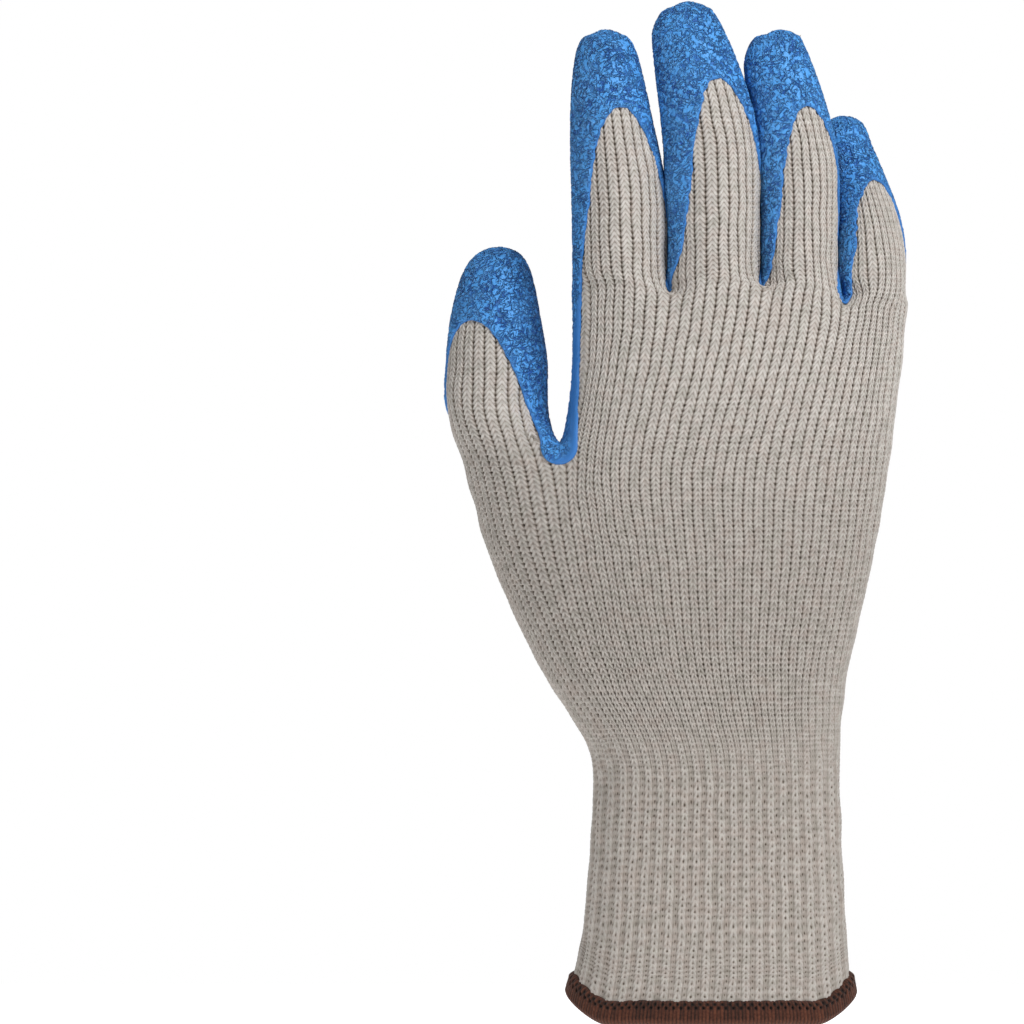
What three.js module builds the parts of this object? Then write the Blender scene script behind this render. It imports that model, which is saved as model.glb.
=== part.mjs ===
// Latex coated grip glove for the right hand, standing on its hand opening with the fingers up.
// Millimetres. The back of the hand faces -Y, the palm +Y, the thumb -X, and Z runs along the fingers.
// A coarse cage of four-sided faces is fitted through the measured sections, then smoothed. The
// knitted liner is that surface with a wall, in one share for cuff and hand and one for each finger.
// The latex coat is a skin over the covered share of the surface, and the hem is a channel round the
// liner's lower edge.
import * as THREE from "three";

const LENGTH = 255.5;
const PALM_WIDTH = 84;
const PALM_DEPTH = 26;
const CUFF_WIDTH = 61.3;
const CUFF_DEPTH = 33;
const FINGER_WIDTH = 21;
const KNIT = 1.6;
const COAT = 0.7;
const GAP = 0.3;
const HEM_WALL = 1.2;
const SECTION_POWER = 2.4;

// Sections of the cuff. up and lift (how much higher the sides lie) are shares of LENGTH, left and
// right of CUFF_WIDTH, deep (half the depth) of CUFF_DEPTH.
const CUFF_ROWS = [
  { up: 0.0063, left: -0.569, right: 0.564, deep: 0.591, lift: 0.0137 },
  { up: 0.0450, left: -0.538, right: 0.551, deep: 0.552, lift: 0.0125 },
  { up: 0.1018, left: -0.512, right: 0.540, deep: 0.515, lift: 0.0039 },
  { up: 0.2114, left: -0.480, right: 0.520, deep: 0.497, lift: 0 },
  { up: 0.2740, left: -0.509, right: 0.520, deep: 0.515, lift: 0 },
];

// Sections of the hand. left and right are shares of PALM_WIDTH, deep, middle, thumb and little
// (how far the section and its two sides lie towards the palm) of PALM_DEPTH. fan goes from 0,
// even wales, to 1, wales that turn into the thumb.
const PALM_ROWS = [
  { up: 0.3366, left: -0.489, right: 0.399, deep: 0.692, middle: 0, thumb: 0.115, little: 0, fan: 0.2 },
  { up: 0.4070, left: -0.596, right: 0.448, deep: 0.712, middle: 0.019, thumb: 0.231, little: 0, fan: 0.45 },
  { up: 0.4775, left: -0.680, right: 0.492, deep: 0.685, middle: 0.031, thumb: 0.308, little: 0.038, fan: 0.75 },
  { up: 0.5440, left: -0.735, right: 0.526, deep: 0.635, middle: 0.038, thumb: 0.346, little: 0.058, fan: 1 },
];
const KNUCKLE_ROWS = [
  { up: 0.6301, left: -0.407, right: 0.560, deep: 0.550, middle: 0, thumb: 0.038, little: 0.096 },
  { up: 0.7084, left: -0.405, right: 0.585, deep: 0.485, middle: -0.038, thumb: 0.038, little: 0.154 },
];

// Where the eleven lengthwise lines of the back and of the palm lie, from the thumb side to the
// little finger's side, as shares of half a section's width. rise is a share of LENGTH and pinch a
// share of the depth that the roots of the fingers are drawn in by.
const LINES = [
  { even: -0.975, fanned: -0.953 },
  { even: -0.80, fanned: -0.779 },
  { even: -0.60, fanned: -0.526, hand: -0.926, root: -0.908, rise: 0.008, pinch: 0 },
  { even: -0.40, fanned: -0.354, hand: -0.753, root: -0.704, rise: 0.008, pinch: 0 },
  { even: -0.20, fanned: -0.175, hand: -0.494, root: -0.424, rise: 0, pinch: 0.16 },
  { even: 0, fanned: 0.024, hand: -0.222, root: -0.137, rise: 0.012, pinch: 0 },
  { even: 0.20, fanned: 0.222, hand: 0.044, root: 0.130, rise: 0.006, pinch: 0.16 },
  { even: 0.40, fanned: 0.420, hand: 0.304, root: 0.378, rise: 0.004, pinch: 0 },
  { even: 0.60, fanned: 0.619, hand: 0.553, root: 0.610, rise: -0.010, pinch: 0.16 },
  { even: 0.80, fanned: 0.798, hand: 0.763, root: 0.788, rise: -0.010, pinch: 0 },
  { even: 0.975, fanned: 0.936, hand: 0.914, root: 0.918, rise: -0.013, pinch: 0 },
];

// Sections of the fingers from the root to the tip. up is a share of LENGTH, across of PALM_WIDTH,
// out (towards the palm) of PALM_DEPTH, wide and deep (half sizes) of FINGER_WIDTH.
const THUMB = [
  { up: 0.5949, across: -0.638, out: 0.408, wide: 0.576, deep: 0.562 },
  { up: 0.6419, across: -0.640, out: 0.485, wide: 0.571, deep: 0.533 },
  { up: 0.6888, across: -0.643, out: 0.562, wide: 0.500, deep: 0.495 },
  { up: 0.7358, across: -0.638, out: 0.631, wide: 0.357, deep: 0.371 },
  { up: 0.7569, across: -0.633, out: 0.669, wide: 0, deep: 0 },
];
const INDEX = [
  { up: 0.7339, across: -0.269, out: -0.019, wide: 0.538, deep: 0.510 },
  { up: 0.8023, across: -0.273, out: -0.031, wide: 0.533, deep: 0.495 },
  { up: 0.8767, across: -0.296, out: -0.008, wide: 0.457, deep: 0.448 },
  { up: 0.9483, across: -0.313, out: 0.069, wide: 0.319, deep: 0.319 },
  { up: 0.9683, across: -0.314, out: 0.096, wide: 0, deep: 0 },
];
const MIDDLE = [
  { up: 0.7358, across: 0.019, out: -0.058, wide: 0.486, deep: 0.552 },
  { up: 0.8141, across: 0.019, out: -0.081, wide: 0.490, deep: 0.490 },
  { up: 0.8963, across: -0.007, out: -0.054, wide: 0.471, deep: 0.452 },
  { up: 0.9738, across: -0.062, out: 0.069, wide: 0.333, deep: 0.333 },
  { up: 0.9957, across: -0.067, out: 0.100, wide: 0, deep: 0 },
];
const RING = [
  { up: 0.7319, across: 0.274, out: -0.023, wide: 0.390, deep: 0.514 },
  { up: 0.7984, across: 0.274, out: -0.019, wide: 0.395, deep: 0.433 },
  { up: 0.8728, across: 0.255, out: 0, wide: 0.386, deep: 0.400 },
  { up: 0.9487, across: 0.202, out: 0.065, wide: 0.295, deep: 0.305 },
  { up: 0.9683, across: 0.206, out: 0.085, wide: 0, deep: 0 },
];
const LITTLE = [
  { up: 0.7182, across: 0.493, out: 0.054, wide: 0.371, deep: 0.429 },
  { up: 0.7632, across: 0.489, out: 0.173, wide: 0.371, deep: 0.400 },
  { up: 0.8180, across: 0.453, out: 0.373, wide: 0.324, deep: 0.348 },
  { up: 0.8673, across: 0.404, out: 0.531, wide: 0.267, deep: 0.281 },
  { up: 0.8857, across: 0.398, out: 0.585, wide: 0, deep: 0 },
];
const STATIONS = [-58, 0, 58, 90, 122, 180, 238, 270];

// Bare windows on the backs. top is a share of LENGTH, turn the direction of the window in degrees
// from the back towards the little finger, spread its half width in mm at 1 mm below the top.
const WINDOWS = [
  { finger: "thumb", rows: THUMB, top: 0.6869, turn: -35, spread: 3.1 },
  { finger: "index", rows: INDEX, top: 0.8943, turn: 17, spread: 2.35 },
  { finger: "middle", rows: MIDDLE, top: 0.9217, turn: 22, spread: 2.2 },
  { finger: "ring", rows: RING, top: 0.8953, turn: 25, spread: 2.2 },
  { finger: "little", rows: LITTLE, top: 0.8239, turn: 28, spread: 1.9 },
];

// The coat's edge along the sides: how far towards the palm (share of PALM_DEPTH) it lies at a place
// across the hand (share of PALM_WIDTH).
const SIDE_EDGE = [
  { across: -0.74, out: 0.60 },
  { across: -0.60, out: 0.44 },
  { across: -0.50, out: 0.30 },
  { across: -0.45, out: -0.05 },
  { across: -0.38, out: -0.19 },
  { across: -0.30, out: -0.29 },
  { across: 0.40, out: -0.26 },
  { across: 0.50, out: 0.10 },
  { across: 0.56, out: 0.24 },
];
// The coat's edge across the heel of the palm: its lowest point, and how it rises to both sides.
// Between thumb and hand the coat comes round the web to the back, with a rounded edge.
const WEB_PATCH = { across: -0.445, out: -0.15, up: 0.567, radius: 0.30 };
const HEEL = { up: 0.2593, across: -0.095, thumbRise: 0.092, littleRise: 0.235 };

const smooth = (low, high, value) => {
  const t = Math.min(Math.max((value - low) / (high - low), 0), 1);
  return t * t * (3 - 2 * t);
};

const along = (table, key, value, read) => {
  if (value <= table[0][key]) return table[0][read];
  for (let i = 1; i < table.length; i += 1) {
    const a = table[i - 1];
    const b = table[i];
    if (value <= b[key]) return a[read] + (b[read] - a[read]) * (value - a[key]) / (b[key] - a[key]);
  }
  return table[table.length - 1][read];
};

// One point of a section: share runs from -1 at the thumb side to 1 at the little finger's side, and
// side is -1 on the back, 1 on the palm, 0 on the silhouette.
function sectionPoint(row, width, depth, share, side, pinch) {
  const half = (row.right - row.left) * width / 2;
  const middle = (row.right + row.left) * width / 2;
  const lean = share < 0 ? row.thumb ?? 0 : row.little ?? 0;
  const bulge = Math.pow(1 - Math.pow(Math.abs(share), SECTION_POWER), 1 / SECTION_POWER);
  const out = (row.middle ?? 0) + lean * share * share;
  return [
    middle + half * share,
    out * PALM_DEPTH + side * row.deep * depth * bulge * (1 - pinch),
    (row.up + (row.lift ?? 0) * share * share) * LENGTH,
  ];
}

// A ring of points round a section: the back's lines, the little finger's side, the palm's lines
// backwards, the thumb side.
function ringPoints(row, width, depth, key, first) {
  const lines = LINES.slice(first);
  const place = (line) => {
    if (key) return line[key];
    return line.even + (line.fanned - line.even) * (row.fan ?? 0);
  };
  const atRoot = key === "root";
  const point = (line, side) => {
    const p = sectionPoint(row, width, depth, place(line), side, atRoot ? line.pinch : 0);
    if (atRoot) {
      p[2] += line.rise * LENGTH;
      p[0] -= side > 0 && line.pinch > 0 ? 0.028 * PALM_WIDTH : 0;
    }
    return p;
  };
  return [
    ...lines.map((line) => point(line, -1)),
    sectionPoint(row, width, depth, 1, 0, 0),
    ...lines.slice().reverse().map((line) => point(line, 1)),
    sectionPoint(row, width, depth, -1, 0, 0),
  ];
}

function fingerPoints(row) {
  return STATIONS.map((degrees) => {
    const angle = degrees * Math.PI / 180;
    return [
      row.across * PALM_WIDTH + row.wide * FINGER_WIDTH * Math.sin(angle),
      row.out * PALM_DEPTH - row.deep * FINGER_WIDTH * Math.cos(angle),
      row.up * LENGTH,
    ];
  });
}

// The cage: points that the smooth surface passes through, and its faces, wound to face outwards.
function buildCage() {
  const points = [];
  const faces = [];
  const tubes = [];
  const keep = (list) => list.map((p) => points.push(p) - 1);
  const band = (lower, upper, tube) => {
    lower.forEach((a, i) => {
      const j = (i + 1) % lower.length;
      faces.push([a, lower[j], upper[j], upper[i]]);
      tubes.push(tube);
    });
  };
  const finger = (root, rows, tube) => {
    let ring = root;
    rows.slice(0, -1).forEach((row) => {
      const next = keep(fingerPoints(row));
      band(ring, next, tube);
      ring = next;
    });
    const tip = rows[rows.length - 1];
    const [pole] = keep([[tip.across * PALM_WIDTH, tip.out * PALM_DEPTH, tip.up * LENGTH]]);
    for (let i = 0; i < 8; i += 2) {
      faces.push([ring[i], ring[i + 1], ring[(i + 2) % 8], pole]);
      tubes.push(tube);
    }
  };

  let ring = keep(ringPoints(CUFF_ROWS[0], CUFF_WIDTH, CUFF_DEPTH, null, 0));
  const mouth = ring;
  CUFF_ROWS.slice(1).forEach((row) => {
    const next = keep(ringPoints(row, CUFF_WIDTH, CUFF_DEPTH, null, 0));
    band(ring, next, "body");
    ring = next;
  });
  PALM_ROWS.forEach((row) => {
    const next = keep(ringPoints(row, PALM_WIDTH, PALM_DEPTH, null, 0));
    band(ring, next, "body");
    ring = next;
  });

  // The web of the thumb lies between the third lines of the back and of the palm.
  const back = points[ring[2]];
  const palm = points[ring[20]];
  back[2] += 0.010 * LENGTH;
  back[1] += 0.12 * PALM_DEPTH;
  palm[2] += 0.004 * LENGTH;
  const [thumbWeb] = keep([[
    (back[0] + palm[0]) / 2 - 0.012 * PALM_WIDTH,
    (back[1] + palm[1]) / 2,
    back[2] + 0.009 * LENGTH,
  ]]);
  finger([ring[0], ring[1], ring[2], thumbWeb, ring[20], ring[21], ring[22], ring[23]], THUMB, "thumb");
  const hand = [...ring.slice(2, 21), thumbWeb];
  const knuckles = keep(ringPoints(KNUCKLE_ROWS[0], PALM_WIDTH, PALM_DEPTH, "hand", 2));
  band(hand, knuckles, "hand");
  const roots = keep(ringPoints(KNUCKLE_ROWS[1], PALM_WIDTH, PALM_DEPTH, "root", 2));
  band(knuckles, roots, "hand");

  const webs = keep([2, 4, 6].map((line) => {
    const a = points[roots[line]];
    const b = points[roots[18 - line]];
    return [(a[0] + b[0]) / 2, (a[1] + b[1]) / 2, (a[2] + b[2]) / 2 + 0.006 * LENGTH];
  }));
  [INDEX, MIDDLE, RING, LITTLE].forEach((rows, i) => {
    const k = 2 * i;
    const right = i < 3 ? webs[i] : roots[9];
    const left = i > 0 ? webs[i - 1] : roots[19];
    finger([roots[k], roots[k + 1], roots[k + 2], right,
      roots[16 - k], roots[17 - k], roots[18 - k], left], rows, ["index", "middle", "ring", "little"][i]);
  });
  return { points, faces, tubes, mouth };
}

// Neighbours of every vertex: edges, faces, and whether it lies on the open border.
function neighbours(points, faces) {
  const edges = new Map();
  const info = points.map(() => ({ near: new Set(), opposite: [], faces: [], border: [] }));
  faces.forEach((face, f) => {
    face.forEach((a, i) => {
      const b = face[(i + 1) % 4];
      const key = a < b ? `${a},${b}` : `${b},${a}`;
      if (!edges.has(key)) edges.set(key, { ends: [a, b], faces: [] });
      edges.get(key).faces.push(f);
      info[a].near.add(b);
      info[b].near.add(a);
      info[a].opposite.push(face[(i + 2) % 4]);
      info[a].faces.push(f);
    });
  });
  edges.forEach((edge) => {
    if (edge.faces.length > 1) return;
    info[edge.ends[0]].border.push(edge.ends[1]);
    info[edge.ends[1]].border.push(edge.ends[0]);
  });
  return { edges, info };
}

const blend = (terms) => [0, 1, 2].map((k) => terms.reduce((sum, [p, w]) => sum + p[k] * w, 0));

// Where each vertex of a cage ends up on the smooth surface.
function onSurface(points, info) {
  return points.map((p, v) => {
    const { near, opposite, border } = info[v];
    if (border.length > 0) {
      return blend([[p, 4 / 6], [points[border[0]], 1 / 6], [points[border[1]], 1 / 6]]);
    }
    const n = near.size;
    const whole = n * (n + 5);
    return blend([
      [p, n * n / whole],
      ...[...near].map((q) => [points[q], 4 / whole]),
      ...opposite.map((q) => [points[q], 1 / whole]),
    ]);
  });
}

// Moves the cage until its smooth surface passes through the measured points.
function fitCage(targets, faces) {
  const { info } = neighbours(targets, faces);
  let cage = targets.map((p) => p.slice());
  for (let turn = 0; turn < 30; turn += 1) {
    const surface = onSurface(cage, info);
    cage = cage.map((p, v) => p.map((c, k) => c + targets[v][k] - surface[v][k]));
  }
  return cage;
}

// One step of smoothing: every face becomes four.
function refine(points, faces, tubes) {
  const { edges, info } = neighbours(points, faces);
  const centres = faces.map((face) => blend(face.map((v) => [points[v], 0.25])));
  const moved = points.map((p, v) => {
    const { near, faces: round, border } = info[v];
    if (border.length > 0) {
      return blend([[p, 0.75], [points[border[0]], 0.125], [points[border[1]], 0.125]]);
    }
    const n = near.size;
    return blend([
      [p, (n - 2) / n],
      ...[...near].map((q) => [points[q], 1 / (n * n)]),
      ...round.map((f) => [centres[f], 1 / (n * n)]),
    ]);
  });
  const finer = [...moved, ...centres];
  edges.forEach((edge) => {
    const [a, b] = edge.ends.map((v) => points[v]);
    const inner = edge.faces.length > 1;
    const terms = inner ? [[a, 0.25], [b, 0.25], ...edge.faces.map((f) => [centres[f], 0.25])]
      : [[a, 0.5], [b, 0.5]];
    edge.at = finer.push(blend(terms)) - 1;
  });
  const middle = (a, b) => edges.get(a < b ? `${a},${b}` : `${b},${a}`).at;
  const quads = [];
  const labels = [];
  faces.forEach((face, f) => {
    face.forEach((a, i) => {
      quads.push([a, middle(a, face[(i + 1) % 4]), points.length + f, middle(face[(i + 3) % 4], a)]);
      labels.push(tubes[f]);
    });
  });
  return { points: finer, faces: quads, tubes: labels };
}

function vertexNormals(points, triangles) {
  const normals = points.map(() => new THREE.Vector3());
  triangles.forEach(([a, b, c]) => {
    const p = new THREE.Vector3(...points[a]);
    const u = new THREE.Vector3(...points[b]).sub(p);
    const w = new THREE.Vector3(...points[c]).sub(p);
    const n = u.cross(w);
    [a, b, c].forEach((v) => normals[v].add(n));
  });
  return normals.map((n) => n.normalize().toArray());
}

const shifted = (p, n, distance) => p.map((c, k) => c + n[k] * distance);

// How far inside the coated area a point lies, in mm. Negative on bare knit.
function coverage([x, y, z], tube) {
  const across = x / PALM_WIDTH;
  const edge = along(SIDE_EDGE, "across", across, "out") * PALM_DEPTH;
  const from = across - HEEL.across;
  const rise = from < 0 ? HEEL.thumbRise * (from / 0.43) ** 2 : HEEL.littleRise * (from / 0.555) ** 3;
  const slope = from < 0 ? 2 * HEEL.thumbRise * Math.abs(from) / 0.43 ** 2
    : 3 * HEEL.littleRise * from ** 2 / 0.555 ** 3;
  const heel = (z - (HEEL.up + rise) * LENGTH) / Math.hypot(1, slope * LENGTH / PALM_WIDTH);
  const side = y - edge;
  const patch = WEB_PATCH.radius * FINGER_WIDTH - Math.hypot(x - WEB_PATCH.across * PALM_WIDTH,
    y - WEB_PATCH.out * PALM_DEPTH, z - WEB_PATCH.up * LENGTH);
  const body = Math.max(Math.min(side, heel), patch);
  const pane = WINDOWS.find(({ finger }) => finger === tube);
  if (!pane) return body;
  const up = z / LENGTH;
  const cx = along(pane.rows, "up", up, "across") * PALM_WIDTH;
  const cy = along(pane.rows, "up", up, "out") * PALM_DEPTH;
  const turned = Math.atan2(x - cx, cy - y) - pane.turn * Math.PI / 180;
  const angle = Math.abs(Math.atan2(Math.sin(turned), Math.cos(turned)));
  const share = Math.hypot(x - cx, y - cy) * angle / pane.spread;
  const window = (z - pane.top * LENGTH + share * share) / Math.hypot(1, 2 * share / pane.spread);
  const root = tube === "thumb" ? 0.565 : pane.rows[0].up - 0.02;
  const t = smooth(root, root + 0.045, up);
  return body * (1 - t) + window * t;
}

function meshOf(name, points, triangles, colour, roughness) {
  const geometry = new THREE.BufferGeometry();
  geometry.setAttribute("position", new THREE.Float32BufferAttribute(points.flat(), 3));
  geometry.setIndex(triangles.flat());
  geometry.computeVertexNormals();
  const mesh = new THREE.Mesh(geometry, new THREE.MeshStandardMaterial({ color: colour, roughness }));
  mesh.name = name;
  return mesh;
}

// A share of the knitted liner: its faces of the smooth surface, a second one inside them, and a rim
// along every open edge. An edge that meets the rest of the liner stands back from it by GAP.
function buildLiner(name, share, points, normals, info) {
  const own = share.flatMap(([a, b, c, d]) => [[a, b, c], [a, c, d]]);
  const edgeOf = (list) => list.flatMap(([a, b, c]) => [[a, b], [b, c], [c, a]]);
  const used = new Set(edgeOf(own).map(([a, b]) => `${a},${b}`));
  const open = edgeOf(own).filter(([a, b]) => !used.has(`${b},${a}`));
  const onEdge = new Set(open.flat());
  const mine = new Set(own.flat());
  const place = new Map([...mine].map((v, i) => [v, i]));
  const outer = [];
  const inner = [];
  mine.forEach((v) => {
    let [p, n] = [points[v], normals[v]];
    if (onEdge.has(v) && info[v].border.length === 0) {
      const inside = [...info[v].near].filter((q) => mine.has(q) && !onEdge.has(q));
      const weight = 1 / inside.length;
      const q = blend(inside.map((i) => [points[i], weight]));
      const t = GAP / Math.hypot(...q.map((c, k) => c - p[k]));
      p = blend([[p, 1 - t], [q, t]]);
      n = blend([[n, 1 - t], [blend(inside.map((i) => [normals[i], weight])), t]]);
    }
    outer.push(p);
    inner.push(shifted(p, n, -KNIT));
  });
  const count = outer.length;
  const all = own.map((triangle) => triangle.map((v) => place.get(v)));
  own.forEach((triangle) => all.push(triangle.map((v) => place.get(v) + count).reverse()));
  open.forEach((edge) => {
    const [a, b] = edge.map((v) => place.get(v));
    all.push([b, a, a + count], [b, a + count, b + count]);
  });
  return meshOf(name, [...outer, ...inner], all, "#c9c1b8", 0.95);
}

// The latex coat: the covered share of the surface, cut along the coat's edge, with two faces a
// coat's thickness apart.
function buildCoat(points, triangles, normals, cover) {
  const corners = [];
  const seen = new Map();
  const corner = (key, p, n) => {
    if (!seen.has(key)) seen.set(key, corners.push([p, n]) - 1);
    return seen.get(key);
  };
  const whole = (v) => corner(`${v}`, points[v], normals[v]);
  const cut = (a, b) => {
    const [low, high] = a < b ? [a, b] : [b, a];
    const t = Math.min(Math.max(cover[low] / (cover[low] - cover[high]), 0.12), 0.88);
    const p = blend([[points[low], 1 - t], [points[high], t]]);
    const n = blend([[normals[low], 1 - t], [normals[high], t]]);
    return corner(`${low},${high}`, p, n);
  };
  const sheet = [];
  triangles.forEach((triangle) => {
    const loop = [];
    triangle.forEach((a, i) => {
      const b = triangle[(i + 1) % 3];
      if (cover[a] > 0) loop.push(whole(a));
      if (cover[a] > 0 !== cover[b] > 0) loop.push(cut(a, b));
    });
    for (let i = 2; i < loop.length; i += 1) sheet.push([loop[0], loop[i - 1], loop[i]]);
  });
  const count = corners.length;
  const inner = corners.map(([p, n]) => shifted(p, n, GAP));
  const outer = corners.map(([p, n]) => shifted(p, n, GAP + COAT));
  const used = new Set(sheet.flatMap(([a, b, c]) => [`${a},${b}`, `${b},${c}`, `${c},${a}`]));
  const all = [];
  sheet.forEach(([a, b, c]) => {
    all.push([a + count, b + count, c + count], [c, b, a]);
    [[a, b], [b, c], [c, a]].forEach(([s, e]) => {
      if (!used.has(`${e},${s}`)) all.push([s, e, e + count], [s, e + count, s + count]);
    });
  });
  return meshOf("latex_coat", [...inner, ...outer], all, "#3f80cf", 0.45);
}

// The hem: a channel that takes the liner's lower edge between an outer and an inner wall.
function buildHem(columns, points, normals) {
  const wall = GAP + HEM_WALL;
  const rings = columns.map(([low, middle, high]) => {
    const at = (v, distance, drop) => {
      const p = shifted(points[v], normals[v], distance);
      return [p[0], p[1], p[2] - drop];
    };
    const part = (distance) => blend([[at(middle, distance, 0), 0.5], [at(high, distance, 0), 0.5]]);
    return [
      part(GAP),
      part(GAP + HEM_WALL * 0.6),
      at(middle, wall, 0),
      at(low, wall, 0),
      at(low, -KNIT / 2, wall),
      at(low, -KNIT - wall, 0),
      at(middle, -KNIT - wall, 0),
      at(middle, -KNIT - GAP, 0),
      at(low, -KNIT - GAP, GAP),
      at(low, GAP, GAP),
      at(middle, GAP, 0),
    ];
  });
  const size = rings[0].length;
  const all = [];
  rings.forEach((ring, i) => {
    const next = ((i + 1) % rings.length) * size;
    for (let k = 0; k < size; k += 1) {
      const m = (k + 1) % size;
      all.push([i * size + k, i * size + m, next + m], [i * size + k, next + m, next + k]);
    }
  });
  return meshOf("overlock_hem", rings.flat(), all, "#5a3728", 0.85);
}

function build() {
  const cage = buildCage();
  const fitted = fitCage(cage.points, cage.faces);
  const fine = refine(fitted, cage.faces, cage.tubes);
  const { edges, info } = neighbours(fine.points, fine.faces);
  const points = onSurface(fine.points, info);
  const triangles = fine.faces.flatMap(([a, b, c, d]) => [[a, b, c], [a, c, d]]);
  const normals = vertexNormals(points, triangles);

  const labels = [];
  fine.faces.forEach((face, f) => face.forEach((v) => {
    const tube = fine.tubes[f];
    if (!labels[v] || WINDOWS.some(({ finger }) => finger === tube)) labels[v] = tube;
  }));
  const cover = points.map((p, v) => coverage(p, labels[v]));

  // The mouth's border, walked in the direction of the back's wales.
  const step = (from, to, choices) => choices.find((v) => v !== from && v !== to);
  const first = cage.mouth[0];
  const rim = [first];
  let before = first;
  let here = info[first].border.find((v) => points[v][0] > points[first][0]);
  while (here !== first) {
    rim.push(here);
    const next = step(before, here, info[here].border);
    before = here;
    here = next;
  }
  const above = (v, below) => [...info[v].near].filter((q) => q !== below && info[q].border.length === 0)
    .reduce((best, q) => (Math.hypot(points[q][0] - points[v][0], points[q][1] - points[v][1])
      < Math.hypot(points[best][0] - points[v][0], points[best][1] - points[v][1]) ? q : best));
  const columns = rim.map((v) => {
    const middle = above(v, -1);
    return [v, middle, above(middle, v)];
  });

  const glove = new THREE.Group();
  glove.name = "latex_coated_grip_glove";
  const liner = (name, tubes) => {
    const share = fine.faces.filter((_, f) => tubes.includes(fine.tubes[f]));
    return buildLiner(name, share, points, normals, info);
  };
  glove.add(liner("knit_liner", ["body", "hand"]));
  WINDOWS.forEach(({ finger }) => glove.add(liner(`liner_${finger}`, [finger])));
  glove.add(buildCoat(points, triangles, normals, cover));
  glove.add(buildHem(columns, points, normals));
  return glove;
}

export default build();
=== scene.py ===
import itertools
import math

import bpy
import numpy as np
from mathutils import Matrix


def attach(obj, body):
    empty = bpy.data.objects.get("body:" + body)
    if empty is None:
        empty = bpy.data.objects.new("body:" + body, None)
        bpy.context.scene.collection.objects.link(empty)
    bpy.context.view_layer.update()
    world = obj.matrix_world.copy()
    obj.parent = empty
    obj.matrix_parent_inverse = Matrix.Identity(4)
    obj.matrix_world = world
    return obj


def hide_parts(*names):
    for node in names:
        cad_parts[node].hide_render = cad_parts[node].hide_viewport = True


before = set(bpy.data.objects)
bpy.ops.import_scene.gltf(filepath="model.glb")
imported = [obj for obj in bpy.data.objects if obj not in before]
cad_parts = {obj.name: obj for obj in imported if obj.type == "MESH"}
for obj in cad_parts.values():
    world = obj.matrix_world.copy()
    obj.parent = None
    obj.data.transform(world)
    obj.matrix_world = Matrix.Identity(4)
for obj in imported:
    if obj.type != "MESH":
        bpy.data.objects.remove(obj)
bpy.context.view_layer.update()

# The camera
# It looks straight at the back of the glove from well in front, through a long lens, at half the
# picture's height. The glove stands right of the middle, as in the photograph.
camera = bpy.data.objects.new("camera", bpy.data.cameras.new("camera"))
camera.data.sensor_width = 36
camera.data.lens = 379.68
camera.location = (-0.049875, -2.7, 0.1275)
camera.rotation_euler = (math.pi / 2, 0, 0)
bpy.context.scene.collection.objects.link(camera)
bpy.context.scene.camera = camera


# The hand form
# The glove was knitted seamless and dipped on a hand-shaped former, so liner and latex both follow
# one smooth surface. It is worked out here from sections of cuff, hand and fingers, in millimetres.
LENGTH = 255.5
PALM_WIDTH = 84.0
PALM_DEPTH = 26.0
CUFF_WIDTH = 61.3
CUFF_DEPTH = 33.0
FINGER_WIDTH = 21.0
SECTION_POWER = 2.4

# up and lift are shares of LENGTH, left and right of the width, deep of the depth. courses is the
# number of rows of stitches between a section and the one below it.
CUFF_COLUMNS = ("up", "left", "right", "deep", "lift", "courses")
CUFF_ROWS = [
    (0.0063, -0.569, 0.564, 0.591, 0.0245, 0),
    (0.0450, -0.538, 0.551, 0.552, 0.0245, 6),
    (0.1018, -0.512, 0.540, 0.515, 0.0039, 9),
    (0.2114, -0.480, 0.520, 0.497, 0, 16),
    (0.2740, -0.509, 0.520, 0.515, 0, 10),
]
# middle, thumb and little lean the section towards the palm, fan turns its wales into the thumb.
PALM_COLUMNS = ("up", "left", "right", "deep", "middle", "thumb", "little", "fan", "courses")
PALM_ROWS = [
    (0.3366, -0.489, 0.399, 0.692, 0, 0.115, 0, 0.2, 12),
    (0.4070, -0.596, 0.448, 0.712, 0.019, 0.231, 0, 0.45, 13),
    (0.4775, -0.680, 0.492, 0.685, 0.031, 0.308, 0.038, 0.75, 13),
    (0.5440, -0.735, 0.526, 0.635, 0.038, 0.346, 0.058, 1, 13),
]
KNUCKLE_ROWS = [
    (0.6301, -0.407, 0.560, 0.550, 0, 0.038, 0.096, 0, 16),
    (0.7084, -0.405, 0.585, 0.485, -0.038, 0.038, 0.154, 0, 15),
]
# Lengthwise lines from the thumb's side to the little finger's, as shares of half a width. rise
# and pinch shape the roots of the fingers.
LINE_COLUMNS = ("even", "fanned", "hand", "root", "rise", "pinch")
LINES = [
    (-0.975, -0.953, 0, 0, 0, 0),
    (-0.80, -0.779, 0, 0, 0, 0),
    (-0.60, -0.526, -0.926, -0.908, 0.008, 0),
    (-0.40, -0.354, -0.753, -0.704, 0.008, 0),
    (-0.20, -0.175, -0.494, -0.424, 0, 0.16),
    (0, 0.024, -0.222, -0.137, 0.012, 0),
    (0.20, 0.222, 0.044, 0.130, 0.006, 0.16),
    (0.40, 0.420, 0.304, 0.378, 0.004, 0),
    (0.60, 0.619, 0.553, 0.610, -0.010, 0.16),
    (0.80, 0.798, 0.763, 0.788, -0.010, 0),
    (0.975, 0.936, 0.914, 0.918, -0.013, 0),
]
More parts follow.
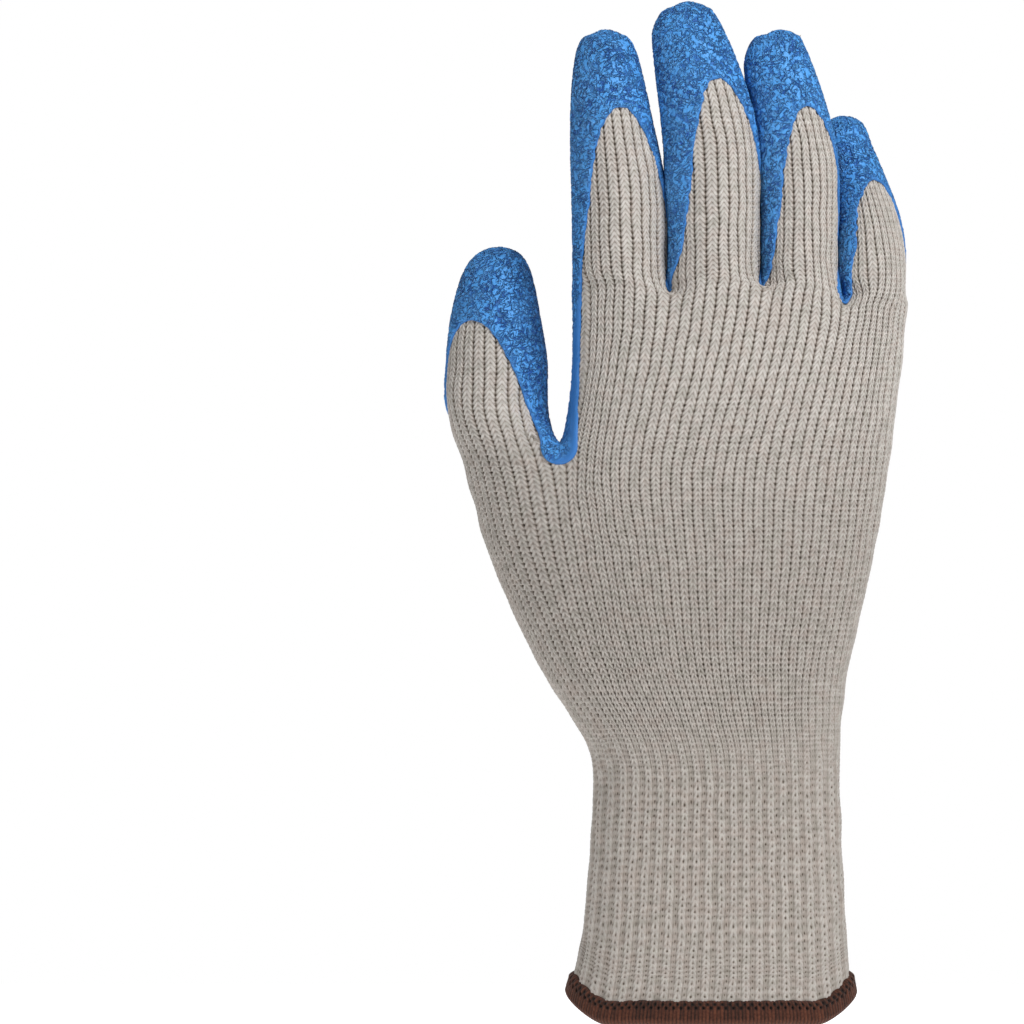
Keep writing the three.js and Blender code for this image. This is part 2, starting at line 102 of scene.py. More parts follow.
# Sections of a finger from root to tip: up, across, out, half width and half depth, with the rows
# of stitches from one to the next.
FINGER_COLUMNS = ("up", "across", "out", "wide", "deep", "courses")
FINGERS = {
    "thumb": [
        (0.5949, -0.638, 0.408, 0.576, 0.562, 10),
        (0.6419, -0.640, 0.485, 0.571, 0.533, 9),
        (0.6888, -0.643, 0.562, 0.500, 0.495, 9),
        (0.7358, -0.638, 0.631, 0.357, 0.371, 9),
        (0.7510, -0.634, 0.658, 0.221, 0.228, 4),
        (0.7569, -0.633, 0.669, 0, 0, 0),
    ],
    "index": [
        (0.7339, -0.269, -0.019, 0.538, 0.510, 4),
        (0.8023, -0.273, -0.031, 0.533, 0.495, 13),
        (0.8767, -0.296, -0.008, 0.457, 0.448, 14),
        (0.9483, -0.313, 0.069, 0.319, 0.319, 14),
        (0.9627, -0.314, 0.088, 0.195, 0.195, 4),
        (0.9683, -0.314, 0.096, 0, 0, 0),
    ],
    "middle": [
        (0.7358, 0.019, -0.058, 0.486, 0.552, 4),
        (0.8141, 0.019, -0.081, 0.490, 0.490, 15),
        (0.8963, -0.007, -0.054, 0.471, 0.452, 16),
        (0.9738, -0.062, 0.069, 0.333, 0.333, 15),
        (0.9896, -0.066, 0.091, 0.213, 0.213, 4),
        (0.9957, -0.067, 0.100, 0, 0, 0),
    ],
    "ring": [
        (0.7319, 0.274, -0.023, 0.390, 0.514, 4),
        (0.7984, 0.274, -0.019, 0.395, 0.433, 13),
        (0.8728, 0.255, 0, 0.386, 0.400, 14),
        (0.9487, 0.202, 0.065, 0.295, 0.305, 14),
        (0.9628, 0.205, 0.079, 0.189, 0.195, 4),
        (0.9683, 0.206, 0.085, 0, 0, 0),
    ],
    "little": [
        (0.7182, 0.493, 0.054, 0.371, 0.429, 4),
        (0.7632, 0.489, 0.173, 0.371, 0.400, 9),
        (0.8180, 0.453, 0.373, 0.324, 0.348, 10),
        (0.8673, 0.404, 0.531, 0.267, 0.281, 9),
        (0.8805, 0.400, 0.570, 0.173, 0.181, 4),
        (0.8857, 0.398, 0.585, 0, 0, 0),
    ],
}
STATIONS = np.radians([-58, 0, 58, 90, 122, 180, 238, 270])


def table(columns, rows):
    """A dict of one array per named column."""
    return dict(zip(columns, np.array(rows, float).T))


def section_ring(row, width, depth, key, first):
    """Points round a section of cuff or hand.

    Across is the middle plus the share of the half width. Out is the half depth times
    (1 - share^p)^(1/p), a rounded oblong, plus a lean that grows with the share squared.
    """
    lines = table(LINE_COLUMNS, LINES[first:])
    share = lines[key] if key else lines["even"] + (lines["fanned"] - lines["even"]) * row.get("fan", 0)
    root = key == "root"
    share = np.concatenate([share, [1], share[::-1], [-1]])
    side = np.concatenate([-np.ones(len(lines["even"])), [0], np.ones(len(lines["even"])), [0]])
    pinch = np.concatenate([lines["pinch"], [0], lines["pinch"][::-1], [0]]) * root
    rise = np.concatenate([lines["rise"], [0], lines["rise"][::-1], [0]]) * root
    half = (row["right"] - row["left"]) * width / 2
    middle = (row["right"] + row["left"]) * width / 2
    lean = np.where(share < 0, row.get("thumb", 0), row.get("little", 0))
    bulge = (1 - np.abs(share) ** SECTION_POWER) ** (1 / SECTION_POWER)
    return np.stack([
        middle + half * share - 0.028 * PALM_WIDTH * ((side > 0) & (pinch > 0)),
        (row.get("middle", 0) + lean * share**2) * PALM_DEPTH + side * row["deep"] * depth * bulge * (1 - pinch),
        (row["up"] + row.get("lift", 0) * np.abs(share) ** 14 + rise) * LENGTH,
    ], axis=1)


def finger_ring(row):
    """Eight points of an ellipse round a finger, at the station angles."""
    return np.stack([
        row["across"] * PALM_WIDTH + row["wide"] * FINGER_WIDTH * np.sin(STATIONS),
        row["out"] * PALM_DEPTH - row["deep"] * FINGER_WIDTH * np.cos(STATIONS),
        np.full(8, row["up"] * LENGTH),
    ], axis=1)


class Form:
    """The cage of four-sided faces, with the stitches that each face holds.

    wales and courses count the stitches across and up a face, wale and course number its first.
    """

    def __init__(self):
        self.points, self.faces, self.tube, self.stitches = [], [], [], []

    def keep(self, points):
        start = len(self.points)
        self.points.extend(np.array(p, float) for p in points)
        return list(range(start, len(self.points)))

    def band(self, lower, upper, tube, wales, courses, course):
        wale = 0
        for i, a in enumerate(lower):
            j = (i + 1) % len(lower)
            self.faces.append((a, lower[j], upper[j], upper[i]))
            self.tube.append(tube)
            self.stitches.append((wales[i], courses, wale, course))
            wale += wales[i]

    def finger(self, root, tube, wales, course):
        ring = root
        rows = [dict(zip(FINGER_COLUMNS, r)) for r in FINGERS[tube]]
        for row in rows[:-1]:
            upper = self.keep(finger_ring(row))
            self.band(ring, upper, tube, wales, row["courses"], course)
            course += row["courses"]
            ring = upper
        tip = rows[-1]
        pole = self.keep([(tip["across"] * PALM_WIDTH, tip["out"] * PALM_DEPTH, tip["up"] * LENGTH)])[0]
        for i in range(0, 8, 2):
            self.faces.append((ring[i], ring[i + 1], ring[(i + 2) % 8], pole))
            self.tube.append(tube)
            self.stitches.append((0, 0, 0, course))


def build_form():
    """The whole cage: cuff, hand, thumb and four fingers."""
    form = Form()
    around = [4] * 10 + [3, 3] + [4] * 10 + [3, 3]
    rows = [dict(zip(CUFF_COLUMNS, r)) for r in CUFF_ROWS]
    palm = [dict(zip(PALM_COLUMNS, r)) for r in PALM_ROWS]
    knuckles = [dict(zip(PALM_COLUMNS, r)) for r in KNUCKLE_ROWS]
    ring = form.keep(section_ring(rows[0], CUFF_WIDTH, CUFF_DEPTH, None, 0))
    course = 0
    for row in rows[1:] + palm:
        sizes = (CUFF_WIDTH, CUFF_DEPTH) if row in rows else (PALM_WIDTH, PALM_DEPTH)
        upper = form.keep(section_ring(row, *sizes, None, 0))
        form.band(ring, upper, "body", around, row["courses"], course)
        course += row["courses"]
        ring = upper

    back, front = form.points[ring[2]], form.points[ring[20]]
    back[2] += 0.010 * LENGTH
    back[1] += 0.12 * PALM_DEPTH
    front[2] += 0.004 * LENGTH
    web = form.keep([(
        (back[0] + front[0]) / 2 - 0.012 * PALM_WIDTH,
        (back[1] + front[1]) / 2,
        back[2] + 0.009 * LENGTH,
    )])
    form.finger(ring[0:3] + web + ring[20:24], "thumb", [4, 4, 2, 2, 4, 4, 3, 3], course)
    ring = ring[2:21] + web
    around = [4] * 8 + [3, 3] + [4] * 8 + [2, 2]
    for row, key in zip(knuckles, ("hand", "root")):
        upper = form.keep(section_ring(row, PALM_WIDTH, PALM_DEPTH, key, 2))
        form.band(ring, upper, "hand", around, row["courses"], course)
        course += row["courses"]
        ring = upper
    webs = []
    for k in (2, 4, 6):
        middle = (form.points[ring[k]] + form.points[ring[18 - k]]) / 2
        webs += form.keep([middle + (0, 0, 0.006 * LENGTH)])
    for i, tube in enumerate(("index", "middle", "ring", "little")):
        k = 2 * i
        right = webs[i] if i < 3 else ring[9]
        left = webs[i - 1] if i > 0 else ring[19]
        root = [ring[k], ring[k + 1], ring[k + 2], right, ring[16 - k], ring[17 - k], ring[18 - k], left]
        edge = 3 if tube == "little" else 2
        form.finger(root, tube, [4, 4, edge, edge, 4, 4, 2, 2], course)
    return form


def edge_table(faces):
    """Every edge once, the number of each face's four edges, and which edges lie on the border."""
    pairs = np.sort(np.stack([faces, np.roll(faces, -1, axis=1)], axis=-1), axis=-1).reshape(-1, 2)
    edges, number, count = np.unique(pairs, axis=0, return_inverse=True, return_counts=True)
    return edges, number.reshape(-1, 4), count == 1


def gather(count, index, values):
    """Sums the values that belong to each of count vertices."""
    total = np.zeros((count, values.shape[-1]))
    np.add.at(total, index, values)
    return total


def on_surface(points, faces):
    """Where a cage's vertices lie on its smooth surface.

    Inside: (n^2 vertex + 4 sum of neighbours + sum of opposite corners) / (n (n + 5)). On the
    border: two thirds of the vertex and a sixth of each border neighbour.
    """
    edges, _, border = edge_table(faces)
    ends = np.concatenate([edges, edges[:, ::-1]])
    n = np.bincount(ends[:, 0], minlength=len(points))[:, None]
    near = gather(len(points), ends[:, 0], points[ends[:, 1]])
    far = gather(len(points), faces.ravel(), points[np.roll(faces, -2, axis=1).ravel()])
    inside = (n * n * points + 4 * near + far) / (n * (n + 5))
    rim = np.concatenate([edges[border], edges[border][:, ::-1]])
    beside = gather(len(points), rim[:, 0], points[rim[:, 1]])
    on_rim = np.isin(np.arange(len(points)), rim[:, 0])[:, None]
    return np.where(on_rim, (4 * points + beside) / 6, inside)


def refine(points, faces, corners):
    """One step of smoothing, in which every face becomes four.

    A vertex moves to (n - 2)/n of itself plus 1/n^2 of its neighbours and of the faces' centres,
    an edge's new vertex is the mean of its ends and the two centres. corners are the places of a
    face's corners within its first face.
    """
    edges, number, border = edge_table(faces)
    centres = points[faces].mean(axis=1)
    ends = np.concatenate([edges, edges[:, ::-1]])
    n = np.bincount(ends[:, 0], minlength=len(points))[:, None]
    near = gather(len(points), ends[:, 0], points[ends[:, 1]])
    middles = gather(len(points), faces.ravel(), np.repeat(centres, 4, axis=0))
    moved = (n - 2) / n * points + (near + middles) / n**2
    rim = np.concatenate([edges[border], edges[border][:, ::-1]])
    beside = gather(len(points), rim[:, 0], points[rim[:, 1]])
    on_rim = np.isin(np.arange(len(points)), rim[:, 0])[:, None]
    moved = np.where(on_rim, 0.75 * points + 0.125 * beside, moved)
    halves = points[edges].mean(axis=1)
    sides = gather(len(edges), number.ravel(), np.repeat(centres, 4, axis=0)) / 2
    split = np.where(border[:, None], halves, (halves + sides) / 2)
    middle = len(points) + len(faces) + number
    centre = len(points) + np.arange(len(faces))[:, None] + 0 * number
    quads = np.stack([faces, middle, centre, np.roll(middle, 1, axis=1)], axis=-1).reshape(-1, 4)
    half = (corners + np.roll(corners, -1, axis=1)) / 2
    whole = np.repeat(corners.mean(axis=1, keepdims=True), 4, axis=1)
    places = np.stack([corners, half, whole, np.roll(half, 1, axis=1)], axis=2).reshape(-1, 4, 2)
    return np.concatenate([moved, centres, split]), quads, places


def point_normals(points, quads):
    """Unit normals, from the faces' normals weighted by their areas."""
    across = points[quads[:, 2]] - points[quads[:, 0]]
    up = points[quads[:, 3]] - points[quads[:, 1]]
    normals = gather(len(points), quads.ravel(), np.repeat(np.cross(across, up), 4, axis=0))
    return normals / np.linalg.norm(normals, axis=1, keepdims=True)


form = build_form()
cage_faces = np.array(form.faces)
targets = np.array(form.points)
cage = targets.copy()
for _ in range(30):
    cage += targets - on_surface(cage, cage_faces)
STEPS = 4
fine, quads = cage, cage_faces
corners = np.tile(np.array([(0, 0), (1, 0), (1, 1), (0, 1)], float), (len(quads), 1, 1))
for _ in range(STEPS):
    fine, quads, corners = refine(fine, quads, corners)
fine = on_surface(fine, quads)
SIDE = 2**STEPS
owner = np.repeat(np.arange(len(cage_faces)), SIDE * SIDE)[:, None]
places = np.rint(corners * SIDE).astype(int)
grid = np.zeros((len(cage_faces), SIDE + 1, SIDE + 1), int)
grid[owner, places[..., 1], places[..., 0]] = quads
tube = np.array(form.tube)
stitches = np.array(form.stitches)
fine_label = np.full(len(fine), "body", dtype="<U6")
for name in ("body", "hand", *FINGERS):
    fine_label[grid[tube == name].ravel()] = name


def smooth(low, high, value):
    """0 below low, 1 above high, and 3t^2 - 2t^3 between them."""
    t = np.clip((value - low) / (high - low), 0, 1)
    return t * t * (3 - 2 * t)


def widened(points, normals, name, side, amount):
    """Moves one flank of a finger outwards in mm, as far as its normals face that side.

    The move fades out at the finger's root and over the last millimetres of its tip.
    """
    here = fine_label == name
    height = points[here, 2]
    fade = smooth(height.min(), height.min() + 5, height) * smooth(0, 8, height.max() - height)
    points[here, 0] += side * amount * smooth(0.0, 0.9, side * normals[here, 0]) * fade


def touching(points, normals, left, right, top):
    """Widens the right finger's near flank until it meets the left finger, up to a height in mm.

    The gap is taken in slices 2 mm high. A point moves by the gap times how far its normal faces
    the left finger, and less near the root and the top.
    """
    slices = np.arange(150, 262, 2)
    one, other = fine_label == left, fine_label == right
    far = [points[one & (abs(points[:, 2] - z) < 2), 0].max(initial=-99) for z in slices]
    near = [points[other & (abs(points[:, 2] - z) < 2), 0].min(initial=99) for z in slices]
    gap = np.clip(np.array(near) - far - 2 * 0.5, 0, 3)
    height = points[other, 2]
    root = height.min()
    facing = smooth(0.0, 0.9, -normals[other, 0])
    points[other, 0] -= np.interp(height, slices, gap) * facing * smooth(root, root + 3, height) * (
        1 - smooth(top - 8, top + 4, height))


def evened(points, normals, weight, rounds):
    """Slides points along the surface until wales and rows are even.

    A point goes sideways to the mean of its neighbours, and up or down to the mean of those above
    and below, in which an edge weighs one over the rows of stitches it holds.
    """
    edges, _, _ = edge_table(quads)
    side_ends = np.concatenate([edges, edges[:, ::-1]])
    side_pull = np.ones(len(side_ends))
    steps = np.stack([grid[:, :-1].ravel(), grid[:, 1:].ravel()], axis=1)
    up_ends = np.concatenate([steps, steps[:, ::-1]])
    up_pull = np.tile(np.repeat(1 / np.maximum(stitches[:, 1], 1), SIDE * (SIDE + 1)), 2)
    level = np.stack([-normals[:, 1], normals[:, 0], 0 * normals[:, 0]], axis=1)
    level /= np.maximum(np.linalg.norm(level, axis=1, keepdims=True), 0.05)
    upward = np.cross(normals, level)
    for _ in range(rounds):
        step = 0
        for ends, pull, way in ((side_ends, side_pull, level), (up_ends, up_pull, upward)):
            live = weight[ends[:, 0]] > 0
            here, there, force = ends[live, 0], ends[live, 1], pull[live]
            total = np.maximum(np.bincount(here, force, len(points)), 1e-6)[:, None]
            mean = np.stack([np.bincount(here, force * points[there, k], len(points)) for k in range(3)], axis=1)
            step = step + ((mean / total - points) * way).sum(axis=1, keepdims=True) * way
        points = points + 0.6 * weight[:, None] * step
    return points


for _ in range(6):
    knuckle = smooth(164, 176, fine[:, 2]) * (1 - smooth(200, 214, fine[:, 2])) * (fine_label != "thumb")
    fine = evened(fine, point_normals(fine, quads), knuckle, 30)
for name, way, amount in (("middle", -1, 1.8), ("ring", -1, 1.7), ("little", 1, -0.9)):
    widened(fine, point_normals(fine, quads), name, way, amount)
for pair in (("index", "middle", 214), ("middle", "ring", 238), ("ring", "little", 228)):
    touching(fine, point_normals(fine, quads), *pair)
fine_normals = point_normals(fine, quads)


def sample(field, members, u, v):
    """A field of the fine vertices at places u, v of cage faces, linear between them both ways."""
    i = np.minimum(np.floor(u * SIDE), SIDE - 1).astype(int)
    j = np.minimum(np.floor(v * SIDE), SIDE - 1).astype(int)
    x, y = u * SIDE - i, v * SIDE - j
    if field.ndim > 1:
        x, y = x[..., None], y[..., None]
    low = field[grid[members, j, i]] * (1 - x) + field[grid[members, j, i + 1]] * x
    high = field[grid[members, j + 1, i]] * (1 - x) + field[grid[members, j + 1, i + 1]] * x
    return low * (1 - y) + high * y


# Bare windows on the backs of the fingers: top is a share of LENGTH, turn the direction in degrees
# from the back towards the little finger, spread the half width in mm at 1 mm below the top.
WINDOWS = {
    "thumb": (0.6869, -35, 3.1),
    "index": (0.8943, 17, 2.35),
    "middle": (0.9217, 22, 2.2),
    "ring": (0.8953, 26, 2.1),
    "little": (0.8239, 28, 2.3),
}
# The edge of the dip along the sides: how far towards the palm it lies, at a place across the hand.
SIDE_EDGE = [
    (-0.74, 0.60), (-0.60, 0.44), (-0.50, 0.42), (-0.45, 0.05), (-0.38, -0.12),
    (-0.30, -0.22), (0.40, -0.26), (0.50, 0.10), (0.56, 0.24),
]
# Between thumb and hand the edge of the dip is a U: its middle, lowest point and radius in mm.
WEB = {"across": -38.1, "low": 139.2, "radius": 4.7}
HEEL = {"up": 0.2593, "across": -0.095, "thumb_rise": 0.092, "little_rise": 0.235}


def coverage(points, label):
    """How far inside the dipped area points lie, in mm, negative on bare knit.

    On the hand it is the smaller of the distances past the side edge and past the heel's curve,
    which rises with the square and the cube of the way across, or else the depth inside the web's
    U. On a finger it is the distance from a parabola round its bare window. The two are mixed over
    the finger's root.
    """
    x, y, z = np.moveaxis(points, -1, 0)
    across, up = x / PALM_WIDTH, z / LENGTH
    edge = np.interp(across, *np.array(SIDE_EDGE).T) * PALM_DEPTH
    off = across - HEEL["across"]
    rise = np.where(off < 0, HEEL["thumb_rise"] * (off / 0.43) ** 2, HEEL["little_rise"] * (off / 0.555) ** 3)
    slope = np.where(off < 0, 2 * HEEL["thumb_rise"] * np.abs(off) / 0.43**2,
                     3 * HEEL["little_rise"] * off**2 / 0.555**3)
    heel = (z - (HEEL["up"] + rise) * LENGTH) / np.hypot(1, slope * LENGTH / PALM_WIDTH)
    middle = WEB["low"] + WEB["radius"]
    web = WEB["radius"] + 0.03 * np.maximum(z - middle, 0) - np.hypot(x - WEB["across"], np.minimum(z - middle, 0))
    body = np.maximum(np.minimum(y - edge, heel), web)
    cover = body.copy()
    for name, (top, turn, spread) in WINDOWS.items():
        rows = table(FINGER_COLUMNS, FINGERS[name])
        here = label == name
        middle = np.interp(up[here], rows["up"], rows["across"]) * PALM_WIDTH
        depth = np.interp(up[here], rows["up"], rows["out"]) * PALM_DEPTH
        turned = np.arctan2(x[here] - middle, depth - y[here]) - np.radians(turn)
        angle = np.abs(np.arctan2(np.sin(turned), np.cos(turned)))
        share = np.hypot(x[here] - middle, y[here] - depth) * angle / spread
        window = (z[here] - top * LENGTH + share**2) / np.hypot(1, 2 * share / spread)
        root = 0.565 if name == "thumb" else rows["up"][0] - 0.02
        t = smooth(root, root + 0.045, up[here])
        cover[here] = body[here] * (1 - t) + window * t
    return cover


fine_cover = coverage(fine, fine_label)


def lattice(members, across, up, bend=None):
    """Points over cage faces: their u and v, place, normal and how far they are under the latex."""
    u = np.broadcast_to(np.linspace(0, 1, across + 1), (len(members), up + 1, across + 1))
    v = np.broadcast_to(np.linspace(0, 1, up + 1)[:, None], u.shape)
    faces = members[:, None, None]
    if bend is not None:
        u = bend(u, sample(fine, faces, u, v)[..., 2])
    normals = sample(fine_normals, faces, u, v)
    return {
        "place": sample(fine, faces, u, v),
        "normal": normals / np.linalg.norm(normals, axis=-1, keepdims=True),
        "cover": sample(fine_cover, faces, u, v),
    }


def welded(places):
    """For every point, the number of the first one that lies at the same place, to 0.25 micron."""
    steps = np.rint((places - places.min(axis=0)) * 4000).astype(np.int64)
    key = (steps[:, 0] << 42) + (steps[:, 1] << 21) + steps[:, 2]
    return np.unique(key, return_index=True, return_inverse=True)[1:]


def split(ids, across, up):
    """Lattices of point numbers cut into blocks, each with its own border points."""
    rows = np.arange(0, ids.shape[1] - 1, up)[:, None] + np.arange(up + 1)
    columns = np.arange(0, ids.shape[2] - 1, across)[:, None] + np.arange(across + 1)
    blocks = ids[:, rows[:, None, :, None], columns[None, :, None, :]]
    return blocks.reshape(-1, up + 1, across + 1)


def cells(blocks):
    """The four corners of every cell of blocks of points, wound to face outwards."""
    return np.stack([blocks[:, :-1, :-1], blocks[:, :-1, 1:], blocks[:, 1:, 1:], blocks[:, 1:, :-1]], axis=-1)


def shell(blocks, kept, weld):
    """Closed walls of the kept cells: faces of outer points and, past their number, inner points.

    The outer face has every cell. The inner face has one polygon for each whole block, which only
    takes its border points in between where a rim or a cut block needs them. A rim of four-sided
    faces joins both along every edge that belongs to one kept cell alone.
    """
    count = len(weld)
    quads = cells(blocks)
    outer = quads[kept]
    whole = kept.all(axis=(1, 2))
    inner = quads[kept & ~whole[:, None, None]]
    faces = [outer, inner[:, ::-1] + count]
    full = blocks[whole]
    sides = [full[:, 0, :], full[:, :, -1], full[:, -1, ::-1], full[:, ::-1, 0]]
    span = weld.max() + 1
    there = np.concatenate([weld[s[:, 0]] * span + weld[s[:, -1]] for s in sides])
    met = [np.isin(weld[s[:, -1]] * span + weld[s[:, 0]], there) for s in sides]
    for plain in itertools.product((False, True), repeat=4):
        some = np.all([m == p for m, p in zip(met, plain)], axis=0)
        loop = [s[some][:, :1] if p else s[some][:, :-1] for s, p in zip(sides, plain)]
        faces.append(np.concatenate(loop, axis=1)[:, ::-1] + count)
    starts, ends = outer.ravel(), np.roll(outer, -1, axis=1).ravel()
    lone = ~np.isin(weld[starts] * span + weld[ends], weld[ends] * span + weld[starts])
    starts, ends = starts[lone], ends[lone]
    faces.append(np.stack([ends, starts, starts + count, ends + count], axis=1))
    return faces, np.unique(starts)


def put_mesh(name, points, faces, material, joined, corner=None, marks=None, crease=50):
    """A mesh object from points in mm and arrays of faces with equal corner counts.

    The points are those of the outer face and then those of the inner one, and joined names the
    point that each shares with its neighbours. corner gives the corners of the faces their places
    on the object's own UV map, and marks are values of the points by attribute name.
    """
    loops = np.concatenate([f.ravel() for f in faces])
    sizes = np.concatenate([np.full(len(f), f.shape[1]) for f in faces])
    both = np.concatenate([joined, joined + len(joined)])
    used, compact = np.unique(both[loops], return_inverse=True)
    mesh = bpy.data.meshes.new(name)
    mesh.vertices.add(len(used))
    mesh.vertices.foreach_set("co", (points[used] * 0.001).ravel().astype(np.float32))
    mesh.loops.add(len(loops))
    mesh.loops.foreach_set("vertex_index", compact.ravel().astype(np.int32))
    mesh.polygons.add(len(sizes))
    mesh.polygons.foreach_set("loop_start", (np.cumsum(sizes) - sizes).astype(np.int32))
    mesh.update(calc_edges=True)
    for key, values in (marks or {}).items():
        mesh.attributes.new(key, "FLOAT", "POINT").data.foreach_set("value", values[used].astype(np.float32))
    if corner is not None:
        places = corner[loops % len(joined)].astype(np.float32)
        mesh.uv_layers.new(name="stitch").data.foreach_set("uv", places.ravel())
    mesh.materials.append(material)
    mesh.shade_smooth()
    mesh.set_sharp_from_angle(angle=math.radians(crease))
    piece = bpy.data.objects.new(name, mesh)
    bpy.context.scene.collection.objects.link(piece)
    return piece


def linear(hex_colour):
    """A linear RGBA colour from an sRGB hex value, such as #c8beb4."""
    parts = [int(hex_colour[i:i + 2], 16) / 255 for i in (1, 3, 5)]
    return [c / 12.92 if c <= 0.04045 else ((c + 0.055) / 1.055) ** 2.4 for c in parts] + [1]


def add_node(tree, kind, inputs=None, tones=(), **settings):
    """A node with its settings and links.

    inputs gives an input a socket to link or a plain value. tones are a colour ramp's stops, each
    a place and an sRGB colour. A setting in capitals is a property, the rest are inputs by name.
    """
    node = tree.nodes.new(kind)
    for key, value in settings.items():
        if key.isupper():
            setattr(node, key.lower(), value)
        else:
            node.inputs[key.replace("_", " ")].default_value = value
    for key, source in (inputs or {}).items():
        if isinstance(source, bpy.types.NodeSocket):
            tree.links.new(source, node.inputs[key])
        else:
            node.inputs[key].default_value = source
    if tones:
        stops = node.color_ramp.elements
        while len(stops) < len(tones):
            stops.new(0.5)
        for stop, (place, colour) in zip(stops, tones):
            stop.position, stop.color = place, linear(colour)
    return node


def new_material(name):
    """An empty material with one Principled shader, and its node tree."""
    material = bpy.data.materials.new(name)
    material.use_nodes = True
    tree = material.node_tree
    tree.nodes.clear()
    shader = tree.nodes.new("ShaderNodeBsdfPrincipled")
    output = tree.nodes.new("ShaderNodeOutputMaterial")
    tree.links.new(shader.outputs[0], output.inputs[0])
    return material, tree, shader


def flat(parts, key):
    """One field of several lattices as a single list of points."""
    return np.concatenate([p[key].reshape(-1, *p[key].shape[3:]) for p in parts])


def numbered(parts, across, up):
    """Blocks of point numbers of several lattices, numbered one after the other."""
    start, blocks = 0, []
    for part in parts:
        shape = part["cover"].shape
        blocks.append(split(start + np.arange(np.prod(shape)).reshape(shape), across, up))
        start += np.prod(shape)
    return np.concatenate(blocks)


# The liner's inside
# The glove is one seamless knit. This is the fabric's inner side, which shows through the hand
# opening: a thin wall from the hem to the fingertips, under the stitches and under the latex.
# KNIT is the fabric's thickness in mm.
KNIT = 1.6
# How far a braided leg leans in one row, as a share of half a wale.
LEG_SLOPE = 0.6


